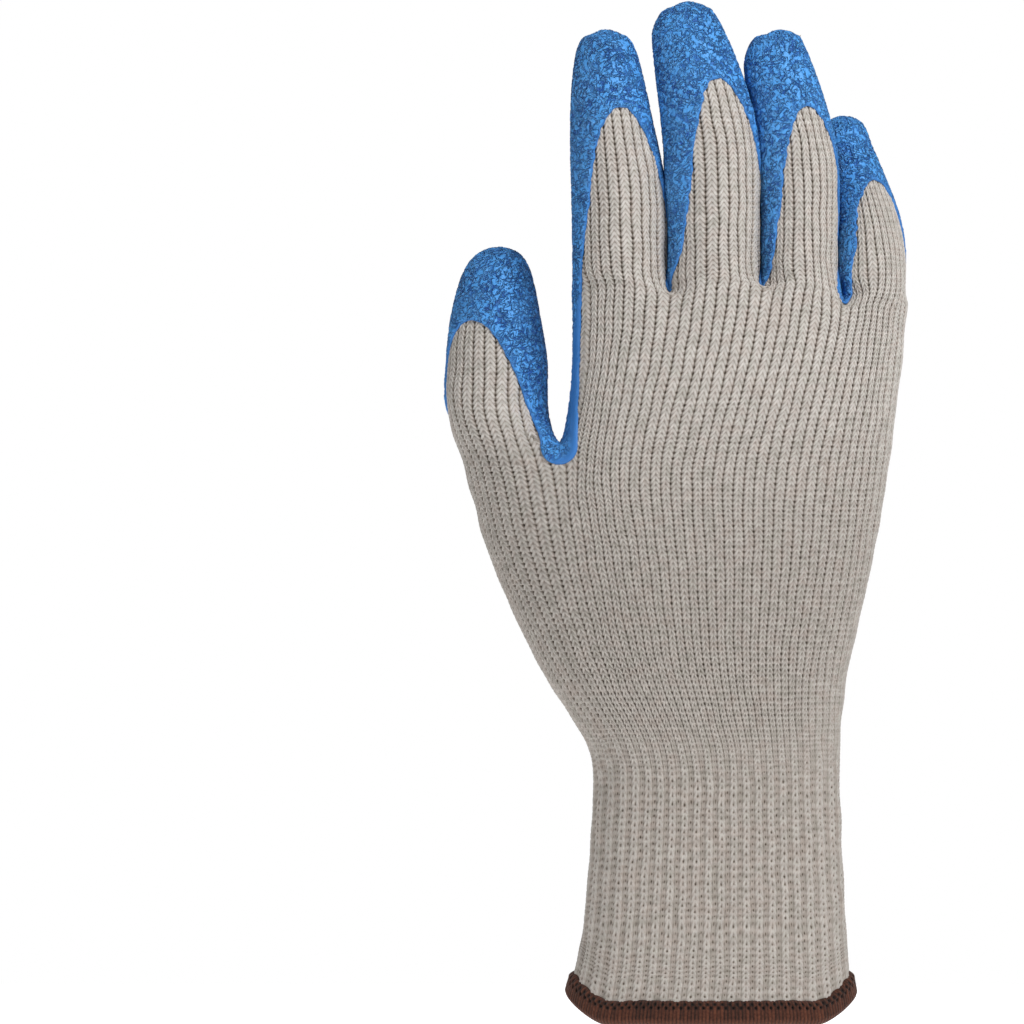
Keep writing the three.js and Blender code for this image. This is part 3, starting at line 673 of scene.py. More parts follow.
def yarn_material(name):
    """Heathered cotton and polyester yarn, matt and soft.

    Each stitch has a hole in the groove beside its wale and one in the wale's middle, a third of a
    row lower, on ribs in the raised and the sunken wales; the holes are darkened with painted shade.
    Where the legs lie as a braid the middle holes are closed, and painted shade lines part the rows
    where course + side / LEG_SLOPE is half way between whole numbers, side being 0 in a wale's
    middle and 1 in its groove, and run along the grooves. Noise over the stitch numbers makes some
    holes darker, and noise longer along the row, as the yarn runs, picks the grey of the yarn. Below
    the fingers it is a little darker with painted shade. Depth shades it too, because fibres shade
    each other. A bump of 0.25 mm is the twist of the fibres.
    """
    material, tree, shader = new_material(name)
    stitch = add_node(tree, "ShaderNodeUVMap", UV_MAP="stitch").outputs[0]
    objects = tree.nodes.new("ShaderNodeTexCoord").outputs["Object"]
    place = add_node(tree, "ShaderNodeSeparateXYZ", {0: stitch})
    wale, course = place.outputs["X"], place.outputs["Y"]
    rib = add_node(tree, "ShaderNodeAttribute", ATTRIBUTE_NAME="rib").outputs["Fac"]
    braid = add_node(tree, "ShaderNodeAttribute", ATTRIBUTE_NAME="braid").outputs["Fac"]
    relief = add_node(tree, "ShaderNodeAttribute", ATTRIBUTE_NAME="relief").outputs["Fac"]

    def near(source, start, half):
        moved = add_node(tree, "ShaderNodeMath", {0: source, 1: start}, OPERATION="SUBTRACT").outputs[0]
        return add_node(tree, "ShaderNodeMath", {0: moved, 1: half}, OPERATION="PINGPONG").outputs[0]

    def hole(across, wide, along, tall):
        both = add_node(tree, "ShaderNodeCombineXYZ", {0: across, 1: along}).outputs[0]
        scaled = add_node(tree, "ShaderNodeVectorMath", {0: both, 1: (wide, tall, 1.0)}, OPERATION="DIVIDE").outputs[0]
        return add_node(tree, "ShaderNodeVectorMath", {0: scaled}, OPERATION="LENGTH").outputs["Value"]

    middle, groove = near(wale, 0.5, 0.5), near(wale, 0.0, 0.5)
    low_row, high_row = near(course, 0.30, 0.5), near(course, 0.68, 0.5)
    open_holes = add_node(tree, "ShaderNodeMath", {
        0: hole(middle, 0.16, low_row, 0.30), 1: hole(groove, 0.16, high_row, 0.36)},
        OPERATION="MINIMUM").outputs[0]
    braid_holes = hole(groove, 0.17, near(course, 0.5, 0.5), 0.36)
    hand_holes = add_node(tree, "ShaderNodeMapRange", {
        "Value": braid, "To Min": open_holes, "To Max": braid_holes}).outputs[0]
    rib_holes = add_node(tree, "ShaderNodeMath", {
        0: hole(near(wale, 0.5, 1.0), 0.14, low_row, 0.28), 1: hole(near(wale, 1.5, 1.0), 0.26, high_row, 0.32)},
        OPERATION="MINIMUM").outputs[0]
    nearest = add_node(tree, "ShaderNodeMapRange", {
        "Value": rib, "To Min": hand_holes, "To Max": rib_holes}).outputs[0]
    vary = add_node(tree, "ShaderNodeTexNoise", {"Vector": stitch}, Scale=1.3, Detail=3.0).outputs["Fac"]
    varied = add_node(tree, "ShaderNodeMath", {0: vary, 1: 2.0, 2: nearest}, OPERATION="MULTIPLY_ADD").outputs[0]
    spread = add_node(tree, "ShaderNodeMapRange", {"Value": varied, "From Min": 0.5, "From Max": 2.0}).outputs[0]
    # painted shade: the holes, and the yarn close round them, are darkened as the shade that falls into them
    shade = add_node(tree, "ShaderNodeValToRGB", {"Fac": spread}, [
        (0.0, "#3d3630"), (0.3, "#6f6760"), (0.6, "#c6c0ba"), (0.9, "#ffffff")]).outputs[0]

    # painted shade: dark lines in the creases between rows and along the grooves between wales
    slant = add_node(tree, "ShaderNodeMath", {
        0: middle, 1: 2 / LEG_SLOPE, 2: course}, OPERATION="MULTIPLY_ADD").outputs[0]
    crease = add_node(tree, "ShaderNodeValToRGB", {"Fac": near(slant, 0.5 + 0.47 / LEG_SLOPE, 0.5)}, [
        (0.30, "#ffffff"), (0.42, "#ece9e6"), (0.5, "#cdc7c1")]).outputs[0]
    border = add_node(tree, "ShaderNodeValToRGB", {"Fac": middle}, [
        (0.38, "#ffffff"), (0.5, "#c6c0b9")]).outputs[0]
    painted_groove_shade = add_node(tree, "ShaderNodeMixRGB", {0: 1.0, 1: crease, 2: border}, BLEND_TYPE="MULTIPLY").outputs[0]
    # painted shade: the knit is a little darker below the fingers, where the legs are braided less
    painted_lower_shade = add_node(tree, "ShaderNodeValToRGB", {"Fac": braid}, [(0.4, "#dddbd9"), (0.9, "#ffffff")]).outputs[0]

    rows = add_node(tree, "ShaderNodeVectorMath", {0: stitch, 1: (0.55, 1.0, 1.0)}, OPERATION="MULTIPLY").outputs[0]
    streak = add_node(tree, "ShaderNodeTexNoise", {"Vector": rows}, Scale=1.1, Detail=2.0).outputs["Fac"]
    colour = add_node(tree, "ShaderNodeValToRGB", {"Fac": streak}, [
        (0.28, "#bab5af"), (0.5, "#c9c4bf"), (0.72, "#d5d1cc")]).outputs[0]
    blotch = add_node(tree, "ShaderNodeTexNoise", {"Vector": objects}, Scale=1000 / 3, Detail=4.0).outputs["Fac"]
    hue = add_node(tree, "ShaderNodeValToRGB", {"Fac": blotch}, [
        (0.36, "#dcdfd8"), (0.5, "#ffffff"), (0.64, "#efe4df")]).outputs[0]
    depth = add_node(tree, "ShaderNodeMapRange", {"Value": relief, "From Min": -0.9, "From Max": 0.3}).outputs[0]
    deep = add_node(tree, "ShaderNodeValToRGB", {"Fac": depth}, [
        (0.0, "#9d958e"), (0.5, "#e2deda"), (1.0, "#ffffff")]).outputs[0]
    for layer, amount in ((painted_lower_shade, 1.0), (hue, 0.35), (painted_groove_shade, braid), (deep, 1.0), (shade, 1.0)):
        colour = add_node(tree, "ShaderNodeMixRGB", {0: amount, 1: colour, 2: layer}, BLEND_TYPE="MULTIPLY").outputs[0]
    tree.links.new(colour, shader.inputs["Base Color"])
    fibre = add_node(tree, "ShaderNodeTexNoise", {"Vector": objects}, Scale=1000 / 0.25, Detail=2.0)
    bump = add_node(tree, "ShaderNodeBump", {"Height": fibre.outputs["Fac"]}, Strength=0.35, Distance=0.0002)
    tree.links.new(bump.outputs[0], shader.inputs["Normal"])
    shader.inputs["Roughness"].default_value = 0.95
    shader.inputs["Specular IOR Level"].default_value = 0.2
    shader.inputs["Sheen Weight"].default_value = 0.1
    shader.inputs["Sheen Roughness"].default_value = 0.6
    return material


yarn = yarn_material("heathered cotton polyester yarn, knitted")

lining_parts = [lattice(np.arange(len(cage_faces)), 4, 4)]
lining_place, lining_normal = flat(lining_parts, "place"), flat(lining_parts, "normal")
lining_first, lining_weld = welded(lining_place)
lining_blocks = numbered(lining_parts, 4, 4)
lining_faces, _ = shell(lining_blocks, np.ones((len(lining_blocks), 4, 4), bool), lining_weld)
lining = put_mesh(
    "liner_inside",
    np.concatenate([lining_place - 1.25 * lining_normal, lining_place - 1.65 * lining_normal]),
    lining_faces, yarn, lining_first[lining_weld],
    corner=lining_place[:, [0, 2]] / 2.0,
    marks={"relief": np.full(2 * len(lining_place), -0.1)},
)
LINER_NODES = ["knit_liner"] + ["liner_" + name for name in WINDOWS]
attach(lining, "root")
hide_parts(*LINER_NODES)


# The stitches of cuff and hand
# Single jersey of thick yarn, whose legs lean together at the top of each stitch. On the cuff every
# second wale is drawn inwards by elastic thread, so the rest stand as ribs and hold the wrist.
def rib_bend(wales, first):
    """Moves wale borders so that ribs are twice as wide as the wales between them.

    A point's place across a face goes to the running sum of the wales' new widths, mixed with its
    even place by how far the ribs have faded out, 0 above the cuff and 1 on it.
    """
    widths = np.where((first + np.arange(wales)) % 2 == 0, 1.35, 0.65)
    borders = np.concatenate([[0], np.cumsum(widths)]) / widths.sum()
    return lambda u, z: u + ribbing(z) * (np.interp(u, np.arange(wales + 1) / wales, borders) - u)


def ribbing(z):
    """How strong the ribs are at a height in mm."""
    return 1 - smooth(58, 80, z)


def random_waves(points, length, stretch, count, seed):
    """A smooth random field of about unit size: the sum of many plane waves.

    Each wave's direction is random, its length near the given one, in mm, and its number along
    each axis is divided by that axis' stretch.
    """
    rng = np.random.default_rng(seed)
    ways = rng.normal(size=(count, 3))
    ways *= (2 * np.pi / length * rng.uniform(0.75, 1.3, count) / np.linalg.norm(ways, axis=1))[:, None]
    ways /= np.array(stretch)
    phases = rng.uniform(0, 2 * np.pi, count)
    total = np.zeros(len(points))
    for way, phase in zip(ways, phases):
        total += np.cos(points @ way + phase)
    return total * np.sqrt(2 / count)


def braiding(label, z):
    """How far the legs lie as a braid at a height in mm: in part on cuff and hand, all on the fingers."""
    return 0.4 + 0.6 * np.where(label == "thumb", smooth(130, 160, z), smooth(100, 190, z))


def yarn_relief(wale, course, first, rib, braid):
    """Height of the yarn over the mean surface, in mm.

    side is 0 in the middle of a wale and 1 in the groove beside it. An open leg is a round,
    sqrt(1 - off^2), about a line that goes from the groove at its foot to the middle at its top as
    a hyperbolic tangent. A braided leg is a grain, sqrt(1 - off^2 - reach^4), about a straight
    line, and reaches further up than down. The highest of three legs, its own and those of the
    rows above and below, shows. A braid's groove sinks as side^4. A rib rises as a half circle
    over its wale and the wale beside it lies a little lower, with a low bar in every row.
    """
    side = np.abs(2 * (wale % 1) - 1)
    leg = grain = 0
    for shift in (-1, 0, 1):
        along = course % 1 - 0.5 - shift
        off = (side - 0.50 + 0.26 * np.tanh(3.2 * (along + 0.05))) / 0.43
        ends = 1 - np.clip(np.abs(along) / 0.82, 0, 1) ** 4
        leg = np.maximum(leg, np.sqrt(np.clip(1 - off**2, 0, None)) * ends)
        off = (side - 0.47 + LEG_SLOPE * along) / 0.42
        reach = along / np.where(along > 0, 1.05, 0.80)
        grain = np.maximum(grain, np.sqrt(np.clip(1 - off**2 - reach**4, 0, None)))
    yarn = leg * (1 - braid) + grain * braid
    jersey = -0.46 + 0.74 * yarn - 0.14 * side**4 * braid
    raised = (np.floor(wale) + first) % 2 == 0
    up = -0.44 + 0.60 * yarn + 0.16 * np.sqrt(np.clip(1 - side**2, 0, 1))
    down = -0.42 + 0.50 * yarn * side**2 + (0.18 + 0.12 * np.cos(2 * np.pi * (course - 0.2))) * (1 - side**2)
    return jersey * (1 - rib) + np.where(raised, up, down) * rib


def knit_lattices(members, across, up):
    """Lattices of the stitches on cage faces, grouped by how many stitches a face holds."""
    parts = []
    kinds = np.stack([stitches[:, 0], stitches[:, 1], stitches[:, 2] % 2], axis=1)
    for wales, courses, first in np.unique(kinds[members], axis=0):
        group = members[(kinds[members] == (wales, courses, first)).all(axis=1)]
        part = lattice(group, wales * across, courses * up, rib_bend(wales, first))
        wale = np.arange(wales * across + 1) / across + 0 * part["cover"]
        course = (np.arange(courses * up + 1) / up)[:, None] + 0 * part["cover"]
        part["rib"] = ribbing(part["place"][..., 2])
        part["braid"] = braiding(tube[group][:, None, None], part["place"][..., 2])
        part["relief"] = yarn_relief(wale, course, first, part["rib"], part["braid"])
        part["stitch"] = np.stack([
            stitches[group, 2][:, None, None] + wale, stitches[group, 3][:, None, None] + course], axis=-1)
        parts.append(part)
    return parts


def knit_piece(name, members, across, up=4, under=2.0):
    """Stitches on cage faces, as a closed sheet that ends a little way under the latex.

    Waves 9 mm long shift the stitches by a fraction of a millimetre, as hand and pull leave them.
    """
    parts = knit_lattices(members[stitches[members, 0] > 0], across, up)
    place, normal = flat(parts, "place"), flat(parts, "normal")
    relief, cover = flat(parts, "relief"), flat(parts, "cover")
    first, weld = welded(place)
    blocks = numbered(parts, across, up)
    bare = cover[blocks[:, up // 2, across // 2]] < under
    blocks = blocks[bare]
    faces, _ = shell(blocks, np.ones((len(blocks), up, across), bool), weld)
    drift = np.stack([random_waves(place, 9, (1, 1, 1), 24, seed) for seed in (41, 42, 43)], axis=1)
    outer = place + relief[:, None] * normal + 0.08 * drift
    piece = put_mesh(
        name, np.concatenate([outer, place - 1.3 * normal]), faces, yarn, first[weld],
        corner=flat(parts, "stitch"),
        marks={key: np.tile(flat(parts, key), 2) for key in ("relief", "rib", "braid")},
    )
    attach(piece, "root")
    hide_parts(*LINER_NODES)
    return piece


row = stitches[:, 3]
body = tube == "body"
CUFF_END, WRIST_END = 31, 53
knit_piece("cuff_ribs", np.flatnonzero(body & (row < CUFF_END)), 6)
knit_piece("wrist_knit", np.flatnonzero(body & (row >= CUFF_END) & (row < WRIST_END)), 6)
knit_piece("hand_knit", np.flatnonzero(body & (row >= WRIST_END)), 8)
knit_piece("finger_knit", np.flatnonzero(~body), 8)


# The latex coat
# Natural rubber latex, dipped over palm, fingers and thumb. Solvent shrank its skin into crinkles
# while it was soft: thin raised wrinkles with a dark crease along each, and flat places between.
COAT_TOP = 0.85
FINGER_CRINKLE, PALM_CRINKLE = 1.5, 2.4


def crinkle(points):
    """The field whose zero lines are the creases.

    Points are first pushed about by shorter waves, which makes the creases zigzag. The field's own
    waves are longer across the hand than along it, so most creases run across. They have one
    length on the fingers and another on the palm, and the two fields are mixed at the knuckles.
    """
    push = np.stack([random_waves(points, 2.0, (1, 1, 1), 40, seed) for seed in (11, 12, 13)], axis=1)
    pushed = points + 0.26 * push
    t = smooth(150, 182, points[:, 2])
    short, long = (random_waves(pushed, size, (1.3, 1.3, 0.9), 70, 14) for size in (FINGER_CRINKLE, PALM_CRINKLE))
    return (short * t + long * (1 - t)) / np.hypot(t, 1 - t)


def uneven(points):
    """How much further the latex reached into the knit here, in mm, none of it round the web."""
    web = (WEB["across"], -6.0, WEB["low"] + WEB["radius"])
    free = smooth(6, 11, np.linalg.norm(points - web, axis=1)) * (
        0.35 + 0.65 * smooth(-33, -28, points[:, 0]))
    return 0.15 * free * random_waves(points, 2.6, (1, 1, 1), 30, 21)


def coat_lattices(members, across):
    """Lattices of the dipped area, about 0.4 mm a cell."""
    parts = []
    ups = np.where(stitches[members, 1] > 0, 4 * np.rint(stitches[members, 1] * 0.75 + 0.3).astype(int), across)
    for up in np.unique(ups):
        group = members[ups == up]
        part = lattice(group, across, up)
        part["label"] = np.broadcast_to(tube[group][:, None, None], part["cover"].shape)
        parts.append(part)
    return parts


def coat_piece(name, members, across=20):
    """The latex skin on cage faces: kept cells, their border moved onto the edge of the dip.

    A border point moves along the surface by the distance that the coverage says, twice. The
    skin's height rises from the edge as a smooth step 0.5 mm wide. A crease lowers it by
    exp(-(field / width)^2), and the wrinkle beside it raises it the same way. Along the edge the
    latex stayed smooth, in a wide band on the hand and a narrow one on fingers and thumb.
    """
    parts = coat_lattices(members, across)
    place, normal = flat(parts, "place"), flat(parts, "normal")
    label = flat(parts, "label")
    first, weld = welded(place)
    cover = flat(parts, "cover") + uneven(place)
    blocks = numbered(parts, 4, 4)
    kept = cover[cells(blocks)].mean(axis=-1) > 0
    blocks, kept = blocks[kept.any(axis=(1, 2))], kept[kept.any(axis=(1, 2))]
    faces, rim = shell(blocks, kept, weld)
    rim = np.unique(first[weld[rim]])
    edge = np.abs(cover[rim]) < 1.2
    rim = rim[edge]
    moved, names = place[rim].copy(), label[rim]
    for _ in range(2):
        here = coverage(moved, names) + uneven(moved)
        steps = [np.eye(3)[k] * 0.1 for k in range(3)]
        slope = np.stack([
            (coverage(moved + d, names) + uneven(moved + d) - coverage(moved - d, names) - uneven(moved - d)) / 0.2
            for d in steps], axis=1)
        slope -= (slope * normal[rim]).sum(axis=1, keepdims=True) * normal[rim]
        size = np.maximum((slope**2).sum(axis=1, keepdims=True), 0.25)
        moved -= np.clip(here, -0.6, 0.6)[:, None] * slope / size
    place[rim] = moved
    cover[rim] = 0
    field = crinkle(place)
    band = 0.5 + 2.0 * (1 - smooth(165, 185, place[:, 2])) * (label != "thumb")
    strength = smooth(0.3 * band, band, cover)
    strength *= 0.75 + 0.25 * smooth(-1, 1, random_waves(place, 9, (1, 1, 1), 30, 31))
    crease = np.exp(-(field / 0.35) ** 2)
    wrinkle = np.exp(-((field - 0.7) / 0.35) ** 2)
    height = 0.25 + (COAT_TOP - 0.25) * np.sqrt(smooth(-0.25, 0.55, cover))
    height += strength * (0.14 * wrinkle - 0.26 * crease)
    under = np.minimum(0.2, height - 0.15)
    outer = place + height[:, None] * normal
    inner = place + under[:, None] * normal
    piece = put_mesh(
        name, np.concatenate([outer, inner]), faces, latex, first[weld],
        marks={"crinkle": np.concatenate([field, field]), "strength": np.concatenate([strength, strength])},
        crease=75,
    )
    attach(piece, "root")
    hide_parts("latex_coat")
    return piece


def latex_material(name):
    """Dipped latex, satin.

    The piece's crinkle field draws its creases again, finer than the mesh can: a line of painted
    shadow where the field is near 0 and a paler wrinkle beside it as a painted highlight, each
    exp(-(distance / width)^2). Lines of equal noise 1 mm wide add short creases between. Other
    noise breaks both up. Noise 12 mm wide varies the blue, and the thin smooth border of the coat
    is darker with painted shade.
    """
    material, tree, shader = new_material(name)
    objects = tree.nodes.new("ShaderNodeTexCoord").outputs["Object"]
    strength = add_node(tree, "ShaderNodeAttribute", ATTRIBUTE_NAME="strength").outputs["Fac"]

    def gate(size, low, high):
        field = add_node(tree, "ShaderNodeTexNoise", {"Vector": objects}, Scale=1000 / size, Detail=1.0).outputs["Fac"]
        return add_node(tree, "ShaderNodeMapRange", {
            "Value": field, "From Min": low, "From Max": high, "To Max": strength}).outputs[0]

    def bell(source, centre, width, gated):
        off = add_node(tree, "ShaderNodeMath", {0: source, 1: centre}, OPERATION="SUBTRACT").outputs[0]
        share = add_node(tree, "ShaderNodeMath", {0: off, 1: width}, OPERATION="DIVIDE").outputs[0]
        square = add_node(tree, "ShaderNodeMath", {0: share, 1: share}, OPERATION="MULTIPLY").outputs[0]
        minus = add_node(tree, "ShaderNodeMath", {0: square, 1: -1.0}, OPERATION="MULTIPLY").outputs[0]
        power = add_node(tree, "ShaderNodeMath", {0: minus}, OPERATION="EXPONENT").outputs[0]
        return add_node(tree, "ShaderNodeMath", {0: power, 1: gated}, OPERATION="MULTIPLY").outputs[0]

    jitter = add_node(tree, "ShaderNodeTexNoise", {"Vector": objects}, Scale=1000 / 0.9, Detail=1.0).outputs["Fac"]
    zigzag = add_node(tree, "ShaderNodeMath", {0: jitter, 1: 1.6, 2: -0.8}, OPERATION="MULTIPLY_ADD").outputs[0]
    crinkle_field = add_node(tree, "ShaderNodeAttribute", ATTRIBUTE_NAME="crinkle").outputs["Fac"]
    lines = add_node(tree, "ShaderNodeMath", {0: crinkle_field, 1: zigzag}, OPERATION="ADD").outputs[0]
    long, short = gate(2.2, 0.40, 0.50), gate(1.6, 0.38, 0.48)
    curls = add_node(tree, "ShaderNodeTexNoise", {"Vector": objects}, Scale=1000 / 1.0, Detail=0.0,
                     Distortion=0.5).outputs["Fac"]
    crease = add_node(tree, "ShaderNodeMath", {
        0: bell(lines, 0.0, 0.42, long), 1: bell(curls, 0.5, 0.042, short)}, OPERATION="MAXIMUM").outputs[0]
    wrinkle = add_node(tree, "ShaderNodeMath", {
        0: bell(lines, 1.0, 0.42, long), 1: bell(curls, 0.60, 0.042, short)}, OPERATION="MAXIMUM").outputs[0]
    patches = add_node(tree, "ShaderNodeTexNoise", {"Vector": objects}, Scale=1000 / 12, Detail=3.0).outputs["Fac"]
    blue = add_node(tree, "ShaderNodeValToRGB", {"Fac": patches}, [
        (0.3, "#4896de"), (0.5, "#4e9ee8"), (0.7, "#54a4ee")]).outputs[0]
    # painted shade: the smooth border of the coat, which has no creases, is darkened
    border = add_node(tree, "ShaderNodeValToRGB", {"Fac": strength}, [(0.0, "#b4c2d4"), (0.8, "#ffffff")]).outputs[0]
    # painted shadow in the creases
    dark = add_node(tree, "ShaderNodeValToRGB", {"Fac": crease}, [(0.0, "#ffffff"), (1.0, "#7290bb")]).outputs[0]
    # painted highlight on the wrinkles beside them
    painted_wrinkle_highlight = add_node(tree, "ShaderNodeValToRGB", {"Fac": wrinkle}, [(0.0, "#000000"), (1.0, "#3a4a56")]).outputs[0]
    for layer, blend in ((border, "MULTIPLY"), (dark, "MULTIPLY"), (painted_wrinkle_highlight, "ADD")):
        blue = add_node(tree, "ShaderNodeMixRGB", {0: 1.0, 1: blue, 2: layer}, BLEND_TYPE=blend).outputs[0]
    tree.links.new(blue, shader.inputs["Base Color"])
    fold = add_node(tree, "ShaderNodeMath", {0: wrinkle, 1: crease}, OPERATION="SUBTRACT").outputs[0]
    grain = add_node(tree, "ShaderNodeTexNoise", {"Vector": objects}, Scale=1000 / 0.5, Detail=3.0).outputs["Fac"]
    rough = add_node(tree, "ShaderNodeMath", {0: grain, 1: 0.25, 2: fold}, OPERATION="MULTIPLY_ADD").outputs[0]
    bump = add_node(tree, "ShaderNodeBump", {"Height": rough}, Strength=1.0, Distance=0.0005)
    tree.links.new(bump.outputs[0], shader.inputs["Normal"])
    shader.inputs["Roughness"].default_value = 0.55
    shader.inputs["IOR"].default_value = 1.5
    shader.inputs["Specular IOR Level"].default_value = 0.4
    return material


latex = latex_material("dipped natural rubber latex, crinkled")
coat_piece("palm_latex", np.flatnonzero(body | (tube == "hand")))
coat_piece("thumb_latex", np.flatnonzero(tube == "thumb"))
coat_piece("finger_latex", np.flatnonzero(np.isin(tube, ("index", "middle", "ring", "little"))))


# The hem
# Overedge stitching in reddish brown thread binds the raw edge of the cuff. Close threads run
# over the edge as fine ribs, and the needles leave two rows of holes under the hem's upper edge.
THREAD = 0.9
HOLE_PITCH = 1.85
# Each row of holes: its height as a share of FIRST_BAND, the cage's lowest band in mm, and its shift
# round the mouth in holes.
HOLE_ROWS = [(0.355, 0.0), (0.265, 0.5)]
FIRST_BAND = 9.9


def hem_piece(name):
    """The hem: a closed profile carried round the mouth.

    The profile climbs the outside from the roll under the edge to the hem's upper border, and goes
    back inside. Its height over the knit is a smooth step at the border. A rib rises by a
    power of the sine of the way round over THREAD, and each hole is a pit, exp(-(distance / radius)^2).
    """
    around = np.flatnonzero(body & (stitches[:, 3] == 0))
    steps = np.linspace(0, 1, 65)[:-1]
    u = np.tile(steps, len(around))
    faces = np.repeat(around, len(steps))
    ring = sample(fine, faces, u, 0 * u)
    lengths = np.linalg.norm(np.roll(ring, -1, axis=0) - ring, axis=1)
    run = np.concatenate([[0], np.cumsum(lengths)])
    ribs = round(run[-1] / THREAD)
    holes = round(run[-1] / HOLE_PITCH)
    count = ribs * 4
    way = np.arange(count) / count
    worn = np.repeat(np.random.default_rng(51).uniform(-0.16, 0.0, ribs), 4)
    spot = np.interp(way * run[-1], run, np.arange(len(run)))
    face = around[np.minimum((spot / len(steps)).astype(int), len(around) - 1)]
    part = spot % len(steps) / len(steps)

    def at(v):
        return sample(fine, face, part, np.full(count, v)), sample(fine_normals, face, part, np.full(count, v))

    rows = []
    outside = np.linspace(0.46, 0.0, 18)
    for v in outside:
        place, normal = at(v)
        rise = 1.5 * np.sqrt(smooth(0.46, 0.32, v)) * (0.80 + 0.20 * smooth(0.30, 0.0, v))
        slant = way * ribs + 0.5 * v
        rib = 0.24 * np.abs(np.sin(np.pi * slant)) ** 0.7 * smooth(0.45, 0.32, v)
        pits = 0
        for middle, shift in HOLE_ROWS:
            off = (way * holes + shift) % 1 - 0.5
            pits = pits + np.exp(-((off * HOLE_PITCH / 0.27) ** 2 + ((v - middle) * FIRST_BAND / 0.29) ** 2))
        rows.append((place, normal, 0.05 + rise + rib - 0.9 * pits * smooth(0.46, 0.41, v), 0 * way,
                     0.24 * np.abs(np.sin(np.pi * slant)) ** 0.7 + worn - pits))
    place, normal = at(0.0)
    for turn in np.linspace(0, np.pi, 9)[1:-1]:
        reach = -KNIT / 2 + (1.55 + KNIT / 2) * np.cos(turn)
        rib = 0.2 * np.sqrt(np.abs(np.sin(np.pi * way * ribs)))
        rows.append((place, normal, reach + rib * np.cos(turn), -(1.55 + rib) * np.sin(turn), rib))
    for v in np.linspace(0.0, 0.5, 8):
        place, normal = at(v)
        rib = 0.2 * np.sqrt(np.abs(np.sin(np.pi * (way * ribs + 0.3 * v))))
        rows.append((place, normal, 0 * way - KNIT - 1.5 * np.sqrt(smooth(0.52, 0.40, v)) - rib, 0 * way, rib))
    points = np.stack([p + h[:, None] * n + d[:, None] * np.array([0, 0, 1]) for p, n, h, d, _ in rows])
    # the marks are the relief, which the thread's colour turns into painted shade between threads and in holes
    marks = np.stack([m + 0 * way for *_, m in rows])
    ids = np.arange(points.shape[0] * count).reshape(points.shape[0], count)
    right = np.roll(ids, -1, axis=1)
    below = np.roll(ids, -1, axis=0)
    cross = np.roll(right, -1, axis=0)
    quads_round = np.stack([ids, below, cross, right], axis=-1).reshape(-1, 4)
    piece = put_mesh(
        name, points.reshape(-1, 3), [quads_round], thread, np.arange(ids.size),
        corner=np.stack([np.tile(way * ribs, len(rows)), np.repeat(np.arange(len(rows)), count)], axis=1),
        marks={"relief": marks.ravel()}, crease=180,
    )
    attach(piece, "root")
    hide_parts("overlock_hem")
    return piece


def thread_material(name):
    """Spun polyester sewing thread, matt, dark between the threads and paler on their tops.

    The hem's relief gives the tone, with painted shade between the threads and in the needle
    holes, and noise 0.6 mm wide stands for the single filaments, which are too fine to show.
    """
    material, tree, shader = new_material(name)
    objects = tree.nodes.new("ShaderNodeTexCoord").outputs["Object"]
    relief = add_node(tree, "ShaderNodeAttribute", ATTRIBUTE_NAME="relief").outputs["Fac"]
    depth = add_node(tree, "ShaderNodeMapRange", {"Value": relief, "From Min": -0.5, "From Max": 0.24}).outputs[0]
    # painted shade: the relief darkens the brown between the threads and in the needle holes
    tone = add_node(tree, "ShaderNodeValToRGB", {"Fac": depth}, [
        (0.0, "#100805"), (0.6, "#26140c"), (1.0, "#5e3422")]).outputs[0]
    filament = add_node(tree, "ShaderNodeTexNoise", {"Vector": objects}, Scale=1000 / 0.6, Detail=3.0)
    vary = add_node(tree, "ShaderNodeValToRGB", {"Fac": filament.outputs["Fac"]}, [
        (0.35, "#c8bcb6"), (0.65, "#ffffff")]).outputs[0]
    brown = add_node(tree, "ShaderNodeMixRGB", {0: 1.0, 1: tone, 2: vary}, BLEND_TYPE="MULTIPLY").outputs[0]
    tree.links.new(brown, shader.inputs["Base Color"])
    bump = add_node(tree, "ShaderNodeBump", {"Height": filament.outputs["Fac"]}, Strength=0.4, Distance=0.0002)
    tree.links.new(bump.outputs[0], shader.inputs["Normal"])
    shader.inputs["Roughness"].default_value = 0.85
    shader.inputs["Specular IOR Level"].default_value = 0.25
    shader.inputs["Sheen Weight"].default_value = 0.1
    return material


thread = thread_material("spun polyester sewing thread")
hem_piece("overedge_hem")


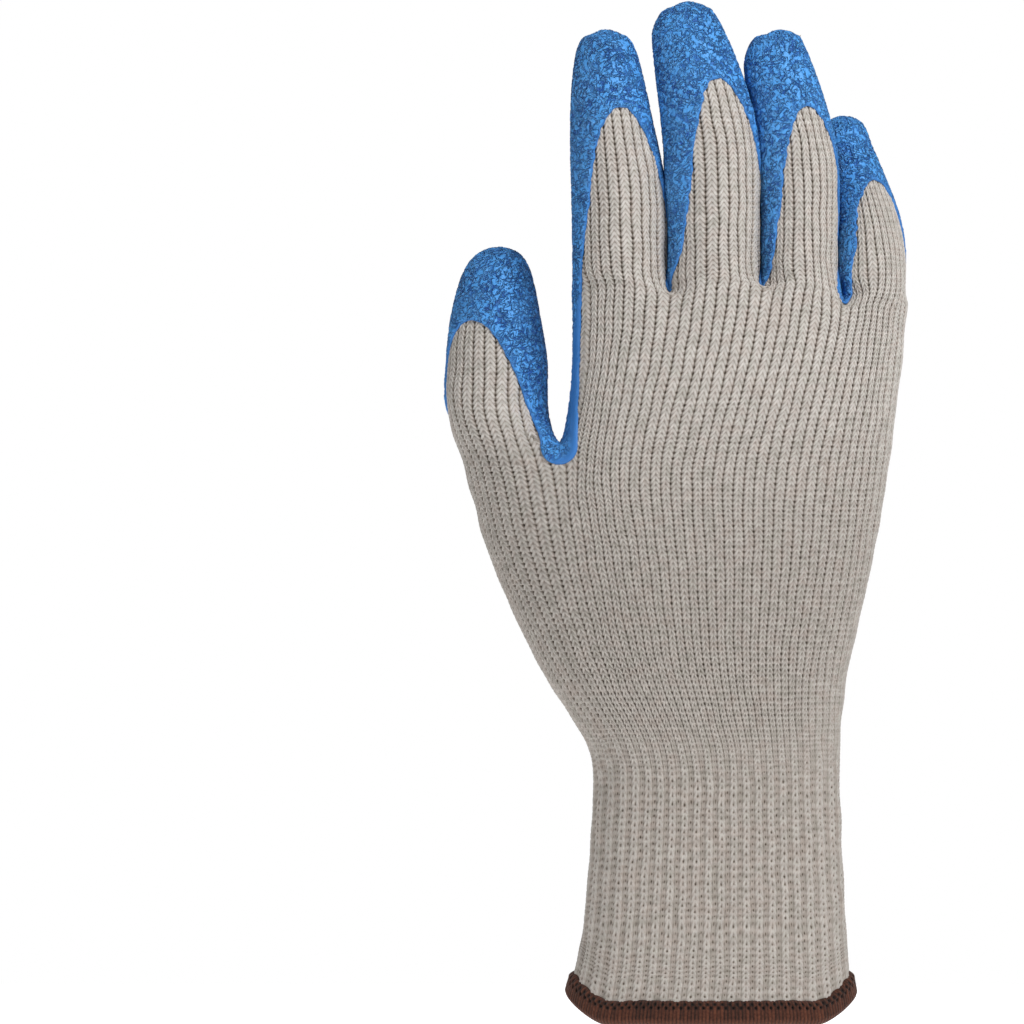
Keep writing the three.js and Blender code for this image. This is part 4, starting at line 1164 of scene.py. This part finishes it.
# The studio
# A plain white floor under a white surround, one broad soft light from the upper right in front of
# the glove, and a weaker one from the left.
def floor_material(name):
    """White seamless paper, so evenly lit that it has no shade of its own."""
    material, tree, shader = new_material(name)
    shader.inputs["Base Color"].default_value = linear("#ffffff")
    shader.inputs["Roughness"].default_value = 1.0
    shader.inputs["Specular IOR Level"].default_value = 0.0
    shader.inputs["Emission Color"].default_value = linear("#ffffff")
    shader.inputs["Emission Strength"].default_value = 0.8
    return material


FLOOR_HALF, FLOOR_HEIGHT = 0.35, -0.006
floor_corners = [(x * FLOOR_HALF, y * FLOOR_HALF, FLOOR_HEIGHT) for x, y in ((-1, -1), (1, -1), (1, 1), (-1, 1))]
floor_mesh = bpy.data.meshes.new("floor")
floor_mesh.from_pydata(floor_corners, [], [(0, 1, 2, 3)])
floor_mesh.materials.append(floor_material("white paper"))
floor = bpy.data.objects.new("floor", floor_mesh)
bpy.context.scene.collection.objects.link(floor)


def soft_light(name, place, size, power):
    """A square lamp that faces the middle of the glove."""
    light = bpy.data.lights.new(name, "AREA")
    light.shape, light.size, light.energy = "SQUARE", size, power
    lamp = bpy.data.objects.new(name, light)
    aim = np.array((-0.01, 0.0, 0.13)) - place
    flat_reach = math.hypot(aim[0], aim[1])
    lamp.location = place
    lamp.rotation_euler = (math.atan2(flat_reach, -aim[2]), 0, math.atan2(-aim[0], aim[1]))
    bpy.context.scene.collection.objects.link(lamp)


soft_light("key_light", (0.4, -0.5, 0.75), 0.35, 6.6)
soft_light("fill_light", (-1.2, -0.9, 0.3), 0.9, 4)

world = bpy.data.worlds.new("white surround")
bpy.context.scene.world = world
world.use_nodes = True
surround = world.node_tree.nodes["Background"]
surround.inputs["Color"].default_value = linear("#ffffff")
ray = world.node_tree.nodes.new("ShaderNodeLightPath")
power = add_node(world.node_tree, "ShaderNodeMapRange", {
    "Value": ray.outputs["Is Camera Ray"], "To Min": 0.24, "To Max": 1.0})
world.node_tree.links.new(power.outputs[0], surround.inputs["Strength"])
bpy.context.scene.view_settings.view_transform = "Standard"
